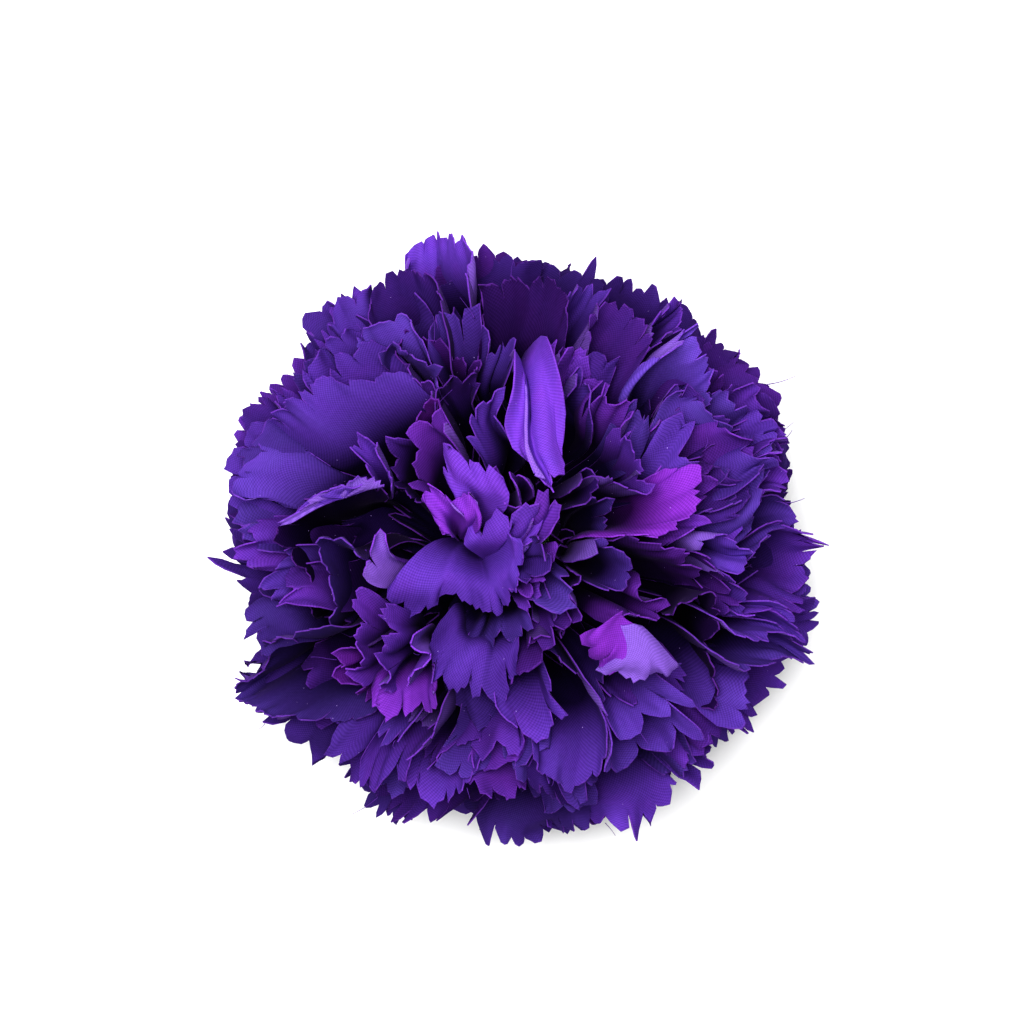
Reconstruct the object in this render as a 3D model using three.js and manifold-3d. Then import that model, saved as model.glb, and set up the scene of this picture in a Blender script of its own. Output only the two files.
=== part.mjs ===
// A carnation flower head made of woven fabric, resting face up. Toothed petals are gathered in
// layers round a moulded pin, above a green calyx that holds the cut end of the stem.
// Millimetres and degrees, +Z up, origin on the surface below the middle of the head.
import * as THREE from "three";
import { mergeVertices } from "three/addons/utils/BufferGeometryUtils.js";
import Module from "manifold-3d";

// Fabric
const BLADE = 0.7; // petal thickness
const TOOTH_DEPTH = 3; // how deep the rim of a petal is cut
const TOOTH_WIDTH = 5;
const FEWEST_TEETH = 3;
const MOST_TEETH = 5;
const LIP_START = 0.7; // share of a petal's length where its lip turns out
const RUFFLED = 8; // how far in from the rim the ruffles go

// Gathered middle of the head
const ROOT_RADIUS = 4; // petals leave the pin here
const LOWEST_ROOT = 20.5; // height at which the petals that reach furthest leave the pin
const ROOT_SPREAD = 12; // how much higher a petal without any reach would leave it
const WIDEST_REACH = 46;
const SUNK = 2; // distance from the root where a petal's modelled blade begins, inside the core
const CORE_RADIUS = 22;
const CORE_BOTTOM = 18.5;
const CORE_WAIST = 26;
const CORE_TOP = 37;
const CORE_CREST = 41; // round the hollow for the pin's head
const NECK_RADIUS = 5.6;
const NECK_BOTTOM = 14.5;

// Green parts, pin and stem
const CALYX_FOOT_RADIUS = 5.2;
const CALYX_WIDEST_RADIUS = 8.2;
const CALYX_RIM_RADIUS = 7.4;
const CALYX_HEIGHT = 17;
const CUP_FLOOR = 14;
const CUP_RADIUS = NECK_RADIUS + 0.3;
const SEPALS = 5;
const SEPAL_ROOT = 6.7; // distance from the axis where a sepal grows out of the calyx wall
const SEPAL_REACH = 15;
const SEPAL_HALF_WIDTH = 3.4;
const SEPAL_LIFT = 1.3; // how far a sepal arches above its root
const SEPAL_THICKNESS = 0.9;
const PIN_RADIUS = 1.6;
const PIN_HEAD_RADIUS = 3;
const PIN_HEAD_THICKNESS = 1.2;
const STEM_RADIUS = 2.4;
const STEM_TOP = 5.7; // the stem's end inside the calyx
const WIRE_RADIUS = 0.6;
const CLEARANCE = 0.3; // gap between neighbouring pieces

const VIOLET = "#4a1f93";
const GREEN = "#4f7a3a";
const STEM_GREEN = "#3f6b32";
const IVORY = "#d9d4c4";
const STEEL = "#8d8f92";

// Every petal is described by its rim: a few points from its right-hand corner to its left-hand
// one, seen from the axis, as [x, y, height]. Its midrib runs from its root on the pin to the middle
// of the rim and stands above the straight line by `arch`, unless it passes through the points of
// `via`. Ring petals get a plain rim by rule from azimuth, reach, height and fan, half its angle,
// with ruffles `ruffle` high, `waves` of them.
const PLAIN = { arch: 8, ruffle: 0, waves: 2 };

// Rings of petals set by a rule, from the underside to the shoulder.
const RINGS = [
  { count: 10, reach: 37.5, height: -0.2, arch: 13, fan: 15, ruffle: 1.0, waves: 2 },
  { count: 11, reach: 43, height: 11, arch: 10, fan: 15, ruffle: 1.8, waves: 2 },
  { count: 12, reach: 45, height: 19, arch: 8, fan: 14, ruffle: 2.2, waves: 2 },
  { count: 12, reach: 44, height: 26, arch: 7, fan: 14, ruffle: 2.4, waves: 2.5 },
];

// Petals set by hand, the way the bloom opened: from the upper left round by the bottom and the
// right to the top, then the small ones in the middle.
const PLACED = [
  // broad left
  {
    arch: 5,
    rim: [
      [-16.5, 25.5, 46.5], [-21.5, 25, 45.5], [-26.5, 24.5, 45], [-31.5, 21.5, 43], [-37, 17, 38],
      [-42, 12, 32], [-43, 5.5, 31.5],
    ],
  },
  // left cup
  {
    arch: -4,
    rim: [
      [-19.5, 8, 55], [-24, 7, 52.5], [-28, 5.5, 50.5], [-31, 4.5, 48], [-33, 2, 45.5],
      [-33.5, -0.5, 45.5], [-32.5, -4.5, 45], [-31.5, -8, 44], [-30, -11.5, 43],
    ],
  },
  // ruffle a
  {
    arch: 0,
    rim: [
      [-20.5, -4.5, 53.5], [-22.5, -7, 53.5], [-21.5, -10, 52], [-23.5, -12.5, 51], [-22, -15.5, 49.5],
      [-23, -18.5, 47], [-22, -21, 45.5],
    ],
  },
  // tongue
  {
    arch: 4,
    rim: [
      [-19, -6.5, 49.5], [-17, -9, 50], [-14, -10, 51.5], [-11.5, -9, 53], [-9, -10, 52.5],
      [-6.5, -11, 51.5], [-3.5, -11.5, 52], [-1.5, -9, 53.5], [0.5, -6, 55.5], [1, -2.5, 57],
      [-0.5, 1, 58],
    ],
  },
  // front row
  {
    arch: 5,
    rim: [
      [-14.5, -14, 48.5], [-12.5, -17, 49], [-11, -19.5, 48.5], [-9, -21, 48.5], [-6.5, -21, 49],
      [-3.5, -21, 49], [-1, -22, 49], [1, -20.5, 49.5], [2, -17, 50.5],
    ],
  },
  // magenta front
  {
    arch: 5,
    rim: [
      [-22.5, -22.5, 43.5], [-22, -25, 43.5], [-20, -25.5, 44], [-16.5, -25, 47], [-13, -25.5, 46.5],
      [-11, -23.5, 48], [-11, -19.5, 48.5],
    ],
  },
  // dark lower left
  {
    arch: 4,
    rim: [
      [-27.5, -12.5, 47], [-31.5, -14.5, 42.5], [-37, -17, 35], [-42, -22, 17], [-37.5, -24, 28.5],
      [-31.5, -25.5, 36.5], [-23.5, -26, 42],
    ],
  },
  // lobed lower
  {
    arch: 4,
    rim: [
      [-23.5, -32.5, 38.5], [-22.5, -35, 37], [-20, -35.5, 38], [-17.5, -35, 40], [-15, -34, 42],
      [-12.5, -30.5, 46.5], [-12, -28, 48.5],
    ],
  },
  // bottom a
  {
    arch: 4,
    rim: [
      [-16, -35.5, 39], [-14, -37, 38.5], [-11, -37.5, 38], [-8, -36.5, 39.5], [-6, -35.5, 41],
      [-5, -32, 45],
    ],
  },
  // smooth bottom
  {
    arch: 4,
    rim: [
      [1.5, -30.5, 48.5], [3, -33, 45.5], [5.5, -34.5, 44.5], [8.5, -35, 43.5], [11, -34, 43.5],
      [12.5, -31.5, 46], [12.5, -28.5, 49],
    ],
  },
  // ruffled bottom
  {
    arch: 3,
    rim: [
      [-1.5, -22.5, 50.5], [0.5, -25.5, 49.5], [2.5, -26.5, 49], [4.5, -25.5, 49], [5.5, -24.5, 50.5],
      [6, -21.5, 51.5],
    ],
  },
  // rounded lobes
  {
    arch: 4,
    rim: [
      [10.5, -23, 50.5], [12.5, -26.5, 48.5], [14.5, -28, 47], [15.5, -25.5, 49], [17.5, -27.5, 46],
      [19.5, -24.5, 48], [22, -26.5, 44.5], [24.5, -25.5, 44.5], [25, -21.5, 48],
    ],
  },
  // rounded lobes low
  {
    arch: 4,
    rim: [
      [13.5, -29, 48], [15, -32.5, 44.5], [18, -33.5, 42], [20.5, -32.5, 42], [22.5, -32, 40.5],
      [24, -30, 43], [23.5, -26.5, 46.5],
    ],
  },
  // magenta lobe
  { arch: 3, rim: [[14, -20, 54], [11.5, -18.5, 55], [9.5, -16.5, 56], [8.5, -14, 57], [10, -11, 57]] },
  // flap
  {
    arch: 2,
    rim: [
      [25.5, -17, 49], [22.5, -17.5, 52], [19.5, -17, 54], [16.5, -18, 55], [14, -18.5, 55],
      [12, -19, 54.5], [10.5, -18.5, 54],
    ],
  },
  // right cup
  {
    arch: -5,
    rim: [
      [25, -23.5, 41.5], [28.5, -22, 41], [30.5, -18.5, 42.5], [29.5, -15.5, 45.5], [28.5, -12, 49],
      [27.5, -9.5, 51], [25, -8, 53], [21.5, -8.5, 54.5], [19, -9.5, 53],
    ],
  },
  // right broad
  {
    arch: 4,
    rim: [
      [34, -10, 45], [39, -10, 38.5], [42, -9, 33], [43, -6.5, 32.5], [44.5, -3.5, 30],
      [45, -0.5, 29.5], [43.5, 2, 33], [39.5, 2, 39.5],
    ],
  },
  // right low a
  {
    arch: 4,
    rim: [
      [31.5, -13.5, 46], [36, -14, 41.5], [41.5, -14, 32.5], [42, -12, 34], [40.5, -10, 38.5],
    ],
  },
  // right fold
  {
    arch: 1,
    rim: [
      [31, -4.5, 48], [33, -2.5, 47.5], [35.5, 0, 46], [33.5, 1, 48], [31, 1.5, 49], [28, 0, 50],
      [27, -2.5, 49.5],
    ],
  },
  // bright magenta
  {
    arch: 3,
    rim: [
      [15, -0.5, 55], [19, 1.5, 55], [22.5, 4, 54.5], [25, 6, 53], [26, 8.5, 51], [25, 11, 50.5],
      [23, 12, 50], [20, 12, 50.5],
    ],
  },
  // right lobes a
  {
    arch: 2,
    rim: [
      [27, 3.5, 47.5], [29.5, 5, 47], [32, 6.5, 45], [31.5, 8.5, 44], [29.5, 9, 46], [29.5, 10.5, 45],
      [27.5, 11.5, 45],
    ],
  },
  // right lobes c
  {
    arch: 3,
    rim: [
      [31.5, 2.5, 45], [36, 4.5, 42], [40, 6.5, 36.5], [41.5, 9, 33], [40.5, 11, 33.5],
      [37.5, 12.5, 38.5], [34.5, 13, 40.5],
    ],
  },
  // right lobes e
  {
    arch: 3,
    rim: [
      [31.5, 10.5, 42.5], [34, 12.5, 40], [37.5, 15, 36], [40, 13.5, 31.5], [37.5, 17, 34.5],
      [33, 18, 38.5], [30, 17.5, 41],
    ],
  },
  // face upper right
  {
    arch: 1,
    rim: [
      [9.5, 9, 54.5], [12.5, 8, 54], [16, 9, 53], [19, 10, 52], [17, 12, 53.5], [18.5, 14, 52.5],
      [16.5, 16, 52.5], [17.5, 17.5, 51.5], [14, 18, 52.5],
    ],
  },
  // face upper top
  {
    arch: 1,
    rim: [
      [15, 17.5, 51.5], [17, 20, 51], [16.5, 21.5, 51.5], [14, 21, 51.5], [13, 22.5, 51],
      [11, 20.5, 52.5], [10, 24.5, 50],
    ],
  },
  // dark lobes right
  {
    arch: 2,
    rim: [
      [25, 11.5, 47.5], [27.5, 13.5, 45.5], [29.5, 15.5, 43.5], [28.5, 18, 43], [26.5, 19, 44],
      [24, 18.5, 45.5], [23, 17.5, 46.5],
    ],
  },
  // sheen cylinder
  {
    arch: 3,
    rim: [
      [29, 20.5, 41.5], [30.5, 23, 40], [30, 27.5, 38], [27, 29.5, 42], [24.5, 31.5, 43],
      [20.5, 28, 48], [18.5, 26.5, 46.5], [17.5, 23, 45.5],
    ],
  },
  // smooth upper
  {
    arch: 5,
    rim: [
      [18.5, 26, 45.5], [19, 29, 44.5], [18, 31.5, 44], [16, 35, 42.5], [14.5, 36, 42], [12, 35.5, 44],
      [10.5, 31.5, 45.5], [11, 28, 47],
    ],
  },
  // upper mid
  {
    arch: 4,
    rim: [
      [12.5, 32, 42.5], [12, 37, 39.5], [10.5, 39.5, 37], [8, 37.5, 40], [6.5, 34, 42], [6.5, 30.5, 44],
    ],
  },
  // dark upper
  {
    arch: 5,
    rim: [
      [8, 28.5, 47], [7.5, 33, 45], [6, 35.5, 43.5], [3.5, 36.5, 42.5], [0.5, 36.5, 42.5],
      [-2.5, 38, 41], [-5, 38, 41], [-6.5, 36.5, 41], [-7, 32.5, 43.5],
    ],
  },
  // folded bright
  {
    arch: 0,
    via: [[0.5, 17.5, 32.5], [0.5, 25.5, 45.5], [1.5, 24, 54], [2.5, 17, 58.5]],
    rim: [
      [7.5, 13.5, 58], [6.5, 11, 57.5], [5, 9, 59], [3.5, 7.5, 57.5], [2.5, 8.5, 60.5], [1.5, 11.5, 58],
      [-0.5, 13.5, 58.5],
    ],
  },
  // light out
  {
    arch: 4,
    rim: [
      [-8, 40, 36.5], [-8, 43.5, 29], [-11.5, 45.5, 17], [-14.5, 45.5, 17], [-16.5, 44, 18],
      [-16, 40, 32],
    ],
  },
  // dark round
  {
    arch: 5,
    rim: [
      [-12, 34.5, 43.5], [-12.5, 39.5, 38], [-16, 40.5, 34], [-19.5, 39, 34], [-21.5, 36.5, 35.5],
      [-21, 33, 39],
    ],
  },
  // lobes upper
  {
    arch: 3,
    rim: [
      [-1, 27, 47.5], [-1, 30.5, 46.5], [-3.5, 31.5, 45.5], [-4.5, 30, 45.5], [-6.5, 33.5, 44.5],
      [-8.5, 35, 43], [-11, 34.5, 43], [-12.5, 35, 41], [-13.5, 32.5, 42], [-14, 30, 42],
    ],
  },
  // cave
  {
    arch: -2,
    rim: [
      [-5, 23.5, 48], [-5.5, 27.5, 47], [-8.5, 27, 44.5], [-11, 28.5, 43.5], [-13.5, 29, 42.5],
      [-15.5, 30, 41.5], [-17, 28, 42], [-17, 24.5, 43],
    ],
  },
  // violet left
  {
    arch: 2,
    rim: [
      [-8.5, 13.5, 54], [-9.5, 16, 54], [-10.5, 17.5, 54.5], [-11.5, 16, 53.5], [-13, 17, 53],
      [-15, 15.5, 53], [-16, 11.5, 52.5], [-14.5, 8.5, 52.5], [-12.5, 6.5, 52.5],
    ],
  },
  // rosette a
  {
    arch: 3,
    rim: [
      [-1.5, 9, 57.5], [-3, 10.5, 58], [-5, 11, 58], [-6.5, 12.5, 58.5], [-8, 13.5, 58],
      [-9.5, 11.5, 57], [-9.5, 8.5, 56.5],
    ],
  },
  // rosette b
  {
    arch: 3,
    rim: [
      [-6, 5, 58.5], [-7, 8.5, 59], [-8.5, 7.5, 59], [-9.5, 8.5, 59.5], [-11, 10.5, 59],
      [-12.5, 10.5, 58], [-12.5, 7, 57.5], [-11, 3.5, 57],
    ],
  },
  // rosette c
  {
    arch: 2,
    rim: [
      [2, 2.5, 57], [1.5, 5.5, 56.5], [-0.5, 6, 58.5], [-2, 4.5, 58], [-4, 4, 57.5], [-6.5, 3, 56.5],
      [-8, 1, 55.5],
    ],
  },
  // centre right
  { arch: 1, rim: [[4.5, 2.5, 58], [4, 6, 57.5], [3.5, 7, 58.5], [2, 6, 58.5], [1, 3, 58]] },
  // ruffle right b
  {
    arch: 0,
    rim: [
      [-0.5, -6.5, 55.5], [2, -6, 56.5], [4, -5, 56.5], [4.5, -3, 57], [6, -2, 55.5], [6.5, 1.5, 55.5],
    ],
  },
];

const rad = THREE.MathUtils.degToRad;
const smooth = (x) => THREE.MathUtils.smoothstep(x, 0, 1);

// A repeatable draw from 0 to 1 for petal number i and trait number k.
function draw(i, k) {
  const x = Math.sin(i * 127.1 + k * 311.7) * 43758.5453;
  return x - Math.floor(x);
}

// The same draw spread from -1 to 1.
const sway = (i, k) => 2 * draw(i, k) - 1;

// A plain rim on an arc about the axis, its sides drawn in a little.
const roundRim = (azimuth, reach, height, fan, tilt, skew) =>
  [-1, -0.5, 0, 0.5, 1].map((across) => {
    const angle = rad(azimuth + fan * across);
    const radius = reach * (1 - 0.07 * across ** 2) + skew * across;
    return [radius * Math.cos(angle), radius * Math.sin(angle), height + tilt * across];
  });

function ringPetals() {
  const petals = [];
  RINGS.forEach((ring, order) => {
    for (let n = 0; n < ring.count; n++) {
      const i = petals.length + 1;
      const raised = Math.min(order, 1); // the lowest ring lies on the surface
      petals.push({
        ...PLAIN,
        ...ring,
        rim: roundRim(
          (360 * (n + 0.5 * (order % 2) + 0.3 * sway(i, 1))) / ring.count,
          ring.reach * (1 + 0.04 * sway(i, 2)),
          ring.height + 2 * sway(i, 3) * raised,
          ring.fan,
          3 * sway(i, 7) * raised,
          2 * sway(i, 10),
        ),
        ruffle: ring.ruffle * (1 + 0.5 * sway(i, 5)),
        phase: draw(i, 4),
      });
    }
  });
  return petals;
}

const placedPetals = () => PLACED.map((petal) => ({ ...PLAIN, ...petal, phase: 0 }));

const curve = (points) => new THREE.CatmullRomCurve3(points, false, "catmullrom", 0.5);

// A petal's rim, its midrib and the direction square to the midrib, up and in.
function petalForm(petal) {
  const rim = curve(petal.rim.map((p) => new THREE.Vector3(...p)));
  const middle = rim.getPointAt(0.5);
  const reach = Math.hypot(middle.x, middle.y);
  const out = new THREE.Vector3(middle.x / reach, middle.y / reach, 0);
  const root = out.clone().multiplyScalar(ROOT_RADIUS);
  root.z = LOWEST_ROOT + ROOT_SPREAD * (1 - reach / WIDEST_REACH);
  const run = reach - ROOT_RADIUS;
  const above = out.clone().multiplyScalar(root.z - middle.z).setZ(run).normalize();
  const crest = root.clone().lerp(middle, LIP_START).addScaledVector(above, petal.arch);
  const via = petal.via ? petal.via.map((p) => new THREE.Vector3(...p)) : [crest];
  const rib = curve([root, ...via, middle]);
  return { ...petal, rim, middle, out, above, rib, length: rib.getLength() };
}

// A point of the petal's middle surface at `across`, from -1 to 1, a share of its length away from
// its root.
function petalPoint(form, across, share) {
  const aside = form.rim.getPointAt((across + 1) / 2).sub(form.middle).multiplyScalar(share);
  const wave = Math.sin(Math.PI * (form.waves * across * (1 + 0.15 * across) + 2 * form.phase));
  const lift = form.ruffle * wave * smooth(1 - ((1 - share) * form.length) / RUFFLED);
  return form.rib
    .getPointAt(share)
    .add(aside)
    .addScaledVector(form.above, lift)
    .addScaledVector(form.out, -0.35 * Math.abs(lift));
}

const pointsAcross = (form, columns, share) =>
  Array.from({ length: columns + 1 }, (_, c) => petalPoint(form, (2 * c) / columns - 1, share));

// One petal: rows of points that get finer towards the rim, then a point for the tip of each tooth.
function petalGeometry(petal) {
  const form = petalForm(petal);
  const wanted = Math.round(form.rim.getLength() / TOOTH_WIDTH);
  const teeth = THREE.MathUtils.clamp(wanted, FEWEST_TEETH, MOST_TEETH);
  const cut = 1 - TOOTH_DEPTH / form.length;
  const sunk = SUNK / form.length;
  const rows = [
    pointsAcross(form, 1, sunk),
    pointsAcross(form, teeth - 1, 0.5 * (sunk + cut)),
    pointsAcross(form, teeth, cut),
  ];
  const tips = pointsAcross(form, 2 * teeth, 1).filter((_, c) => c % 2 === 1);
  const points = [...rows.flat(), ...tips];
  const faces = [];
  let start = 0;
  for (let r = 0; r + 1 < rows.length; r++) {
    faces.push(...stripBetween(start, rows[r].length, rows[r + 1].length));
    start += rows[r].length;
  }
  const firstTip = start + rows.at(-1).length;
  tips.forEach((_, t) => faces.push([start + t, firstTip + t, start + t + 1]));
  return thicken(points, faces, BLADE);
}

// Triangles between a row of points and the next row, which may have more points.
function stripBetween(start, near, far) {
  const faces = [];
  let a = 0;
  let b = 0;
  while (a < near - 1 || b < far - 1) {
    const point = start + a;
    const beyond = start + near + b;
    if ((b + 1) / (far - 1) <= (a + 1) / (near - 1)) {
      faces.push([point, beyond, beyond + 1]);
      b++;
    } else {
      faces.push([point, beyond, point + 1]);
      a++;
    }
  }
  return faces;
}

// A closed blade: the sheet, offset half a thickness both ways, with the same triangles on both
// faces and a rim between them.
function thicken(points, faces, thickness) {
  const normals = points.map(() => new THREE.Vector3());
  for (const [a, b, c] of faces) {
    const ab = new THREE.Vector3().subVectors(points[b], points[a]);
    const ac = new THREE.Vector3().subVectors(points[c], points[a]);
    const normal = ab.cross(ac).normalize();
    [a, b, c].forEach((v) => normals[v].add(normal));
  }
  const moved = (side) =>
    points.map((p, v) => p.clone().addScaledVector(normals[v].normalize(), (side * thickness) / 2));
  const positions = [...moved(1), ...moved(-1)].flatMap((p) => p.toArray());
  const other = points.length;
  const index = [];
  const openEdges = new Map();
  for (const [a, b, c] of faces) {
    index.push(a, b, c, a + other, c + other, b + other);
    for (const [u, v] of [[a, b], [b, c], [c, a]]) {
      if (!openEdges.delete(`${v},${u}`)) openEdges.set(`${u},${v}`, [u, v]);
    }
  }
  for (const [u, v] of openEdges.values()) index.push(u, u + other, v + other, u, v + other, v);
  const geometry = new THREE.BufferGeometry();
  geometry.setAttribute("position", new THREE.Float32BufferAttribute(positions, 3));
  geometry.setIndex(index);
  return geometry;
}

// A turned shape from [radius, height] pairs, in order up its outside and back to the start.
function turned(profile, segments = 24) {
  const points = profile.map(([radius, height]) => new THREE.Vector2(radius, height));
  return new THREE.LatheGeometry(points, segments).rotateX(Math.PI / 2);
}

const rod = (radius, bottom, top, segments) =>
  turned([[0, bottom], [radius, bottom], [radius, top], [0, top]], segments);

const wasm = await Module();
wasm.setup();

function toSolid(geometry) {
  const bare = geometry.clone();
  bare.deleteAttribute("normal");
  bare.deleteAttribute("uv");
  const merged = mergeVertices(bare, 1e-4);
  const vertProperties = merged.attributes.position.array;
  const triVerts = new Uint32Array(merged.index.array);
  return new wasm.Manifold(new wasm.Mesh({ numProp: 3, vertProperties, triVerts }));
}

function toGeometry(solid) {
  const { vertProperties, triVerts } = solid.getMesh();
  const geometry = new THREE.BufferGeometry();
  geometry.setAttribute("position", new THREE.BufferAttribute(vertProperties, 3));
  geometry.setIndex(new THREE.BufferAttribute(triVerts, 1));
  return geometry;
}

// All petals fused to the gathered core. The largest body is kept, so no loose scrap and no sealed
// hollow stays. The head is flat where it meets the surface, and bored for the pin.
function bloomSolid() {
  const core = turned(
    [
      [0, NECK_BOTTOM],
      [NECK_RADIUS, NECK_BOTTOM],
      [NECK_RADIUS, CORE_BOTTOM],
      [CORE_RADIUS, CORE_WAIST],
      [CORE_RADIUS, CORE_TOP],
      [0.5 * CORE_RADIUS, CORE_CREST],
      [NECK_RADIUS, CORE_TOP],
      [0, CORE_TOP],
    ],
    14,
  );
  const petals = [...ringPetals(), ...placedPetals()];
  const blades = petals.map((petal) => toSolid(petalGeometry(petal)));
  const bore = turned(
    [
      [0, NECK_BOTTOM - 1],
      [PIN_RADIUS + CLEARANCE, NECK_BOTTOM - 1],
      [PIN_RADIUS + CLEARANCE, CORE_TOP - CLEARANCE],
      [PIN_HEAD_RADIUS + CLEARANCE, CORE_TOP - CLEARANCE],
      [PIN_HEAD_RADIUS + CLEARANCE, CORE_TOP + PIN_HEAD_THICKNESS + 2 * CLEARANCE],
      [0, CORE_TOP + PIN_HEAD_THICKNESS + 2 * CLEARANCE],
    ],
    12,
  );
  const fused = wasm.Manifold.union([toSolid(core), ...blades])
    .subtract(toSolid(bore))
    .trimByPlane([0, 0, 1], 0);
  return fused.decompose().sort((a, b) => b.volume() - a.volume())[0];
}

// The green cup: a foot that stands on the surface, a socket for the stem, a bore for the pin and
// a cup for the neck of the bloom, with pointed sepals that spread from its rim.
function calyxSolid() {
  const socket = STEM_RADIUS + CLEARANCE;
  const pinBore = PIN_RADIUS + CLEARANCE;
  const cup = turned([
    [socket, 0],
    [CALYX_FOOT_RADIUS, 0],
    [CALYX_FOOT_RADIUS, 2],
    [0.5 * (CALYX_FOOT_RADIUS + CALYX_WIDEST_RADIUS) + 0.4, 5],
    [CALYX_WIDEST_RADIUS, 10],
    [CALYX_WIDEST_RADIUS, 13],
    [CALYX_RIM_RADIUS, CALYX_HEIGHT],
    [CUP_RADIUS, CALYX_HEIGHT],
    [CUP_RADIUS, CUP_FLOOR],
    [pinBore, CUP_FLOOR],
    [pinBore, STEM_TOP + CLEARANCE],
    [socket, STEM_TOP + CLEARANCE],
    [socket, 0],
  ]);
  const sepals = Array.from({ length: SEPALS }, (_, n) => toSolid(sepalGeometry((360 * n) / SEPALS)));
  return wasm.Manifold.union([toSolid(cup), ...sepals]);
}

function sepalGeometry(azimuth) {
  const base = CALYX_HEIGHT - SEPAL_THICKNESS;
  const middle = 0.5 * (SEPAL_ROOT + SEPAL_REACH);
  const across = (radius, height, half) => [-half, 0, half].map((y) => new THREE.Vector3(radius, y, height));
  const points = [
    ...across(SEPAL_ROOT, base, SEPAL_HALF_WIDTH),
    ...across(middle, base + SEPAL_LIFT, 0.75 * SEPAL_HALF_WIDTH),
    new THREE.Vector3(SEPAL_REACH, 0, base + 0.6 * SEPAL_LIFT),
  ];
  const faces = [[0, 3, 4], [0, 4, 1], [1, 4, 5], [1, 5, 2], [3, 6, 4], [4, 6, 5]];
  return thicken(points, faces, SEPAL_THICKNESS).rotateZ(rad(azimuth));
}

// The moulded pin that carries the layers: a shaft through the core and a flat head above it.
function pinGeometry() {
  const foot = STEM_TOP + 2 * CLEARANCE;
  return turned(
    [
      [0, foot],
      [PIN_RADIUS, foot],
      [PIN_RADIUS, CORE_TOP],
      [PIN_HEAD_RADIUS, CORE_TOP],
      [PIN_HEAD_RADIUS, CORE_TOP + PIN_HEAD_THICKNESS],
      [0, CORE_TOP + PIN_HEAD_THICKNESS],
    ],
    16,
  );
}

// The cut end of the stem, flush in its socket, bored for its wire.
function stemGeometry() {
  const bore = WIRE_RADIUS + CLEARANCE;
  return turned(
    [
      [bore, CLEARANCE],
      [STEM_RADIUS, CLEARANCE],
      [STEM_RADIUS, STEM_TOP],
      [bore, STEM_TOP],
      [bore, CLEARANCE],
    ],
    20,
  );
}

function part(name, geometry, color, roughness, metalness = 0) {
  const mesh = new THREE.Mesh(geometry, new THREE.MeshStandardMaterial({ color, roughness, metalness }));
  mesh.name = name;
  return mesh;
}

const bloom = bloomSolid();
const { min, max } = bloom.boundingBox();
const head = new THREE.Group();
head.position.set(-0.5 * (min[0] + max[0]), -0.5 * (min[1] + max[1]), 0);
head.add(
  part("bloom", toGeometry(bloom), VIOLET, 0.7),
  part("calyx", toGeometry(calyxSolid()), GREEN, 0.5),
  part("pin", pinGeometry(), IVORY, 0.5),
  part("stem_stub", stemGeometry(), STEM_GREEN, 0.55),
  part("stem_wire", rod(WIRE_RADIUS, CLEARANCE, STEM_TOP, 10), STEEL, 0.4, 1),
);

const group = new THREE.Group();
group.add(head);
export default group;
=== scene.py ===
"""A violet fabric carnation head lying face up, seen from straight above.

The petals are worked out in millimetres about the pin's axis, and every mesh is made in metres.
"""
import math

import bpy
import numpy as np
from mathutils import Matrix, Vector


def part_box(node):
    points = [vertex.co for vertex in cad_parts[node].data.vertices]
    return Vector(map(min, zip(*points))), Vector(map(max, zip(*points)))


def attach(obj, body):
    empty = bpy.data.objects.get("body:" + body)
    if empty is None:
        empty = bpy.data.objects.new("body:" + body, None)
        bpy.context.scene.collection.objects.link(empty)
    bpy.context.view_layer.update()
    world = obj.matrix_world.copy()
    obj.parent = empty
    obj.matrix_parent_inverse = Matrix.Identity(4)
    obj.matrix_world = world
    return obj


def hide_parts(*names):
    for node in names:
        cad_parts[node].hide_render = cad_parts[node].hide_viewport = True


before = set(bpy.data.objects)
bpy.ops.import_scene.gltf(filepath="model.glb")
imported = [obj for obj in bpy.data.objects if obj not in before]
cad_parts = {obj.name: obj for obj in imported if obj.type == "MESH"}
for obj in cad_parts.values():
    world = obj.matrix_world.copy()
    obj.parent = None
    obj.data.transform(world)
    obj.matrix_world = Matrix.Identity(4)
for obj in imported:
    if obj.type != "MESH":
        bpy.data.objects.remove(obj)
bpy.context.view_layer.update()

MM = 0.001
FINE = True

# ------------ the photograph's frame
PHOTO_WIDTH = 1024  # pixels, and as many high
HEAD_CENTRE_PX = (516, 543)  # where the pin's axis is in the photograph
MM_PER_PX = 0.1475  # at the height of the widest petals
WIDEST_HEIGHT = 27  # mm
CAMERA_DISTANCE = 0.62  # metres from the widest petals up to the lens
SENSOR_MM = 36

# ------------ studio, in metres and watts
KEY_PLACE = (-0.17, 0.21, 1.3)
KEY_SIZE = 0.9
KEY_POWER = 30
SKY_STRENGTH = 0.12
FLOOR_SIZE = 3
FLOOR_FINISH = dict(Base_Color=(0.92, 0.92, 0.92, 1), Roughness=0.9, Specular_IOR_Level=0.2)

# ------------ colours and finish of the cloth
VIOLET = (0.085, 0.034, 0.240, 1)
SLATE = (0.075, 0.052, 0.225, 1)  # petals with a negative blush
MAGENTA = (0.155, 0.030, 0.300, 1)  # petals with a positive one
REVERSE = (0.160, 0.085, 0.330, 1)
REVERSE_SHARE = 0.75
# Pale violet of the cut rims, a painted highlight along every cut edge
CUT_HIGHLIGHT = (0.240, 0.070, 0.480, 1)
CUT_HIGHLIGHT_SHARE = 0.32  # how much of that painted highlight the cut edge takes
FRAYED_HIGHLIGHT_SHARE = 0.2  # and the frayed places beside it, with the same painted highlight
LINT = (0.50, 0.38, 0.75, 1)
LINT_PLACES = 0.5  # places for a speck in a mm
LINT_SIZE = 0.035  # in shares of the space between two places
LINT_SHARE = 0.6
THREAD_PITCH = 0.22  # mm from one thread of the weave to the next
WEAVE_SHADE = 0.5  # how much darker the gaps between the threads are
WEAVE_HEIGHT = 0.04  # mm
WEAVE_BUMP = 0.5
SLUB_SHADE = 0.3  # how much the threads differ
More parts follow.
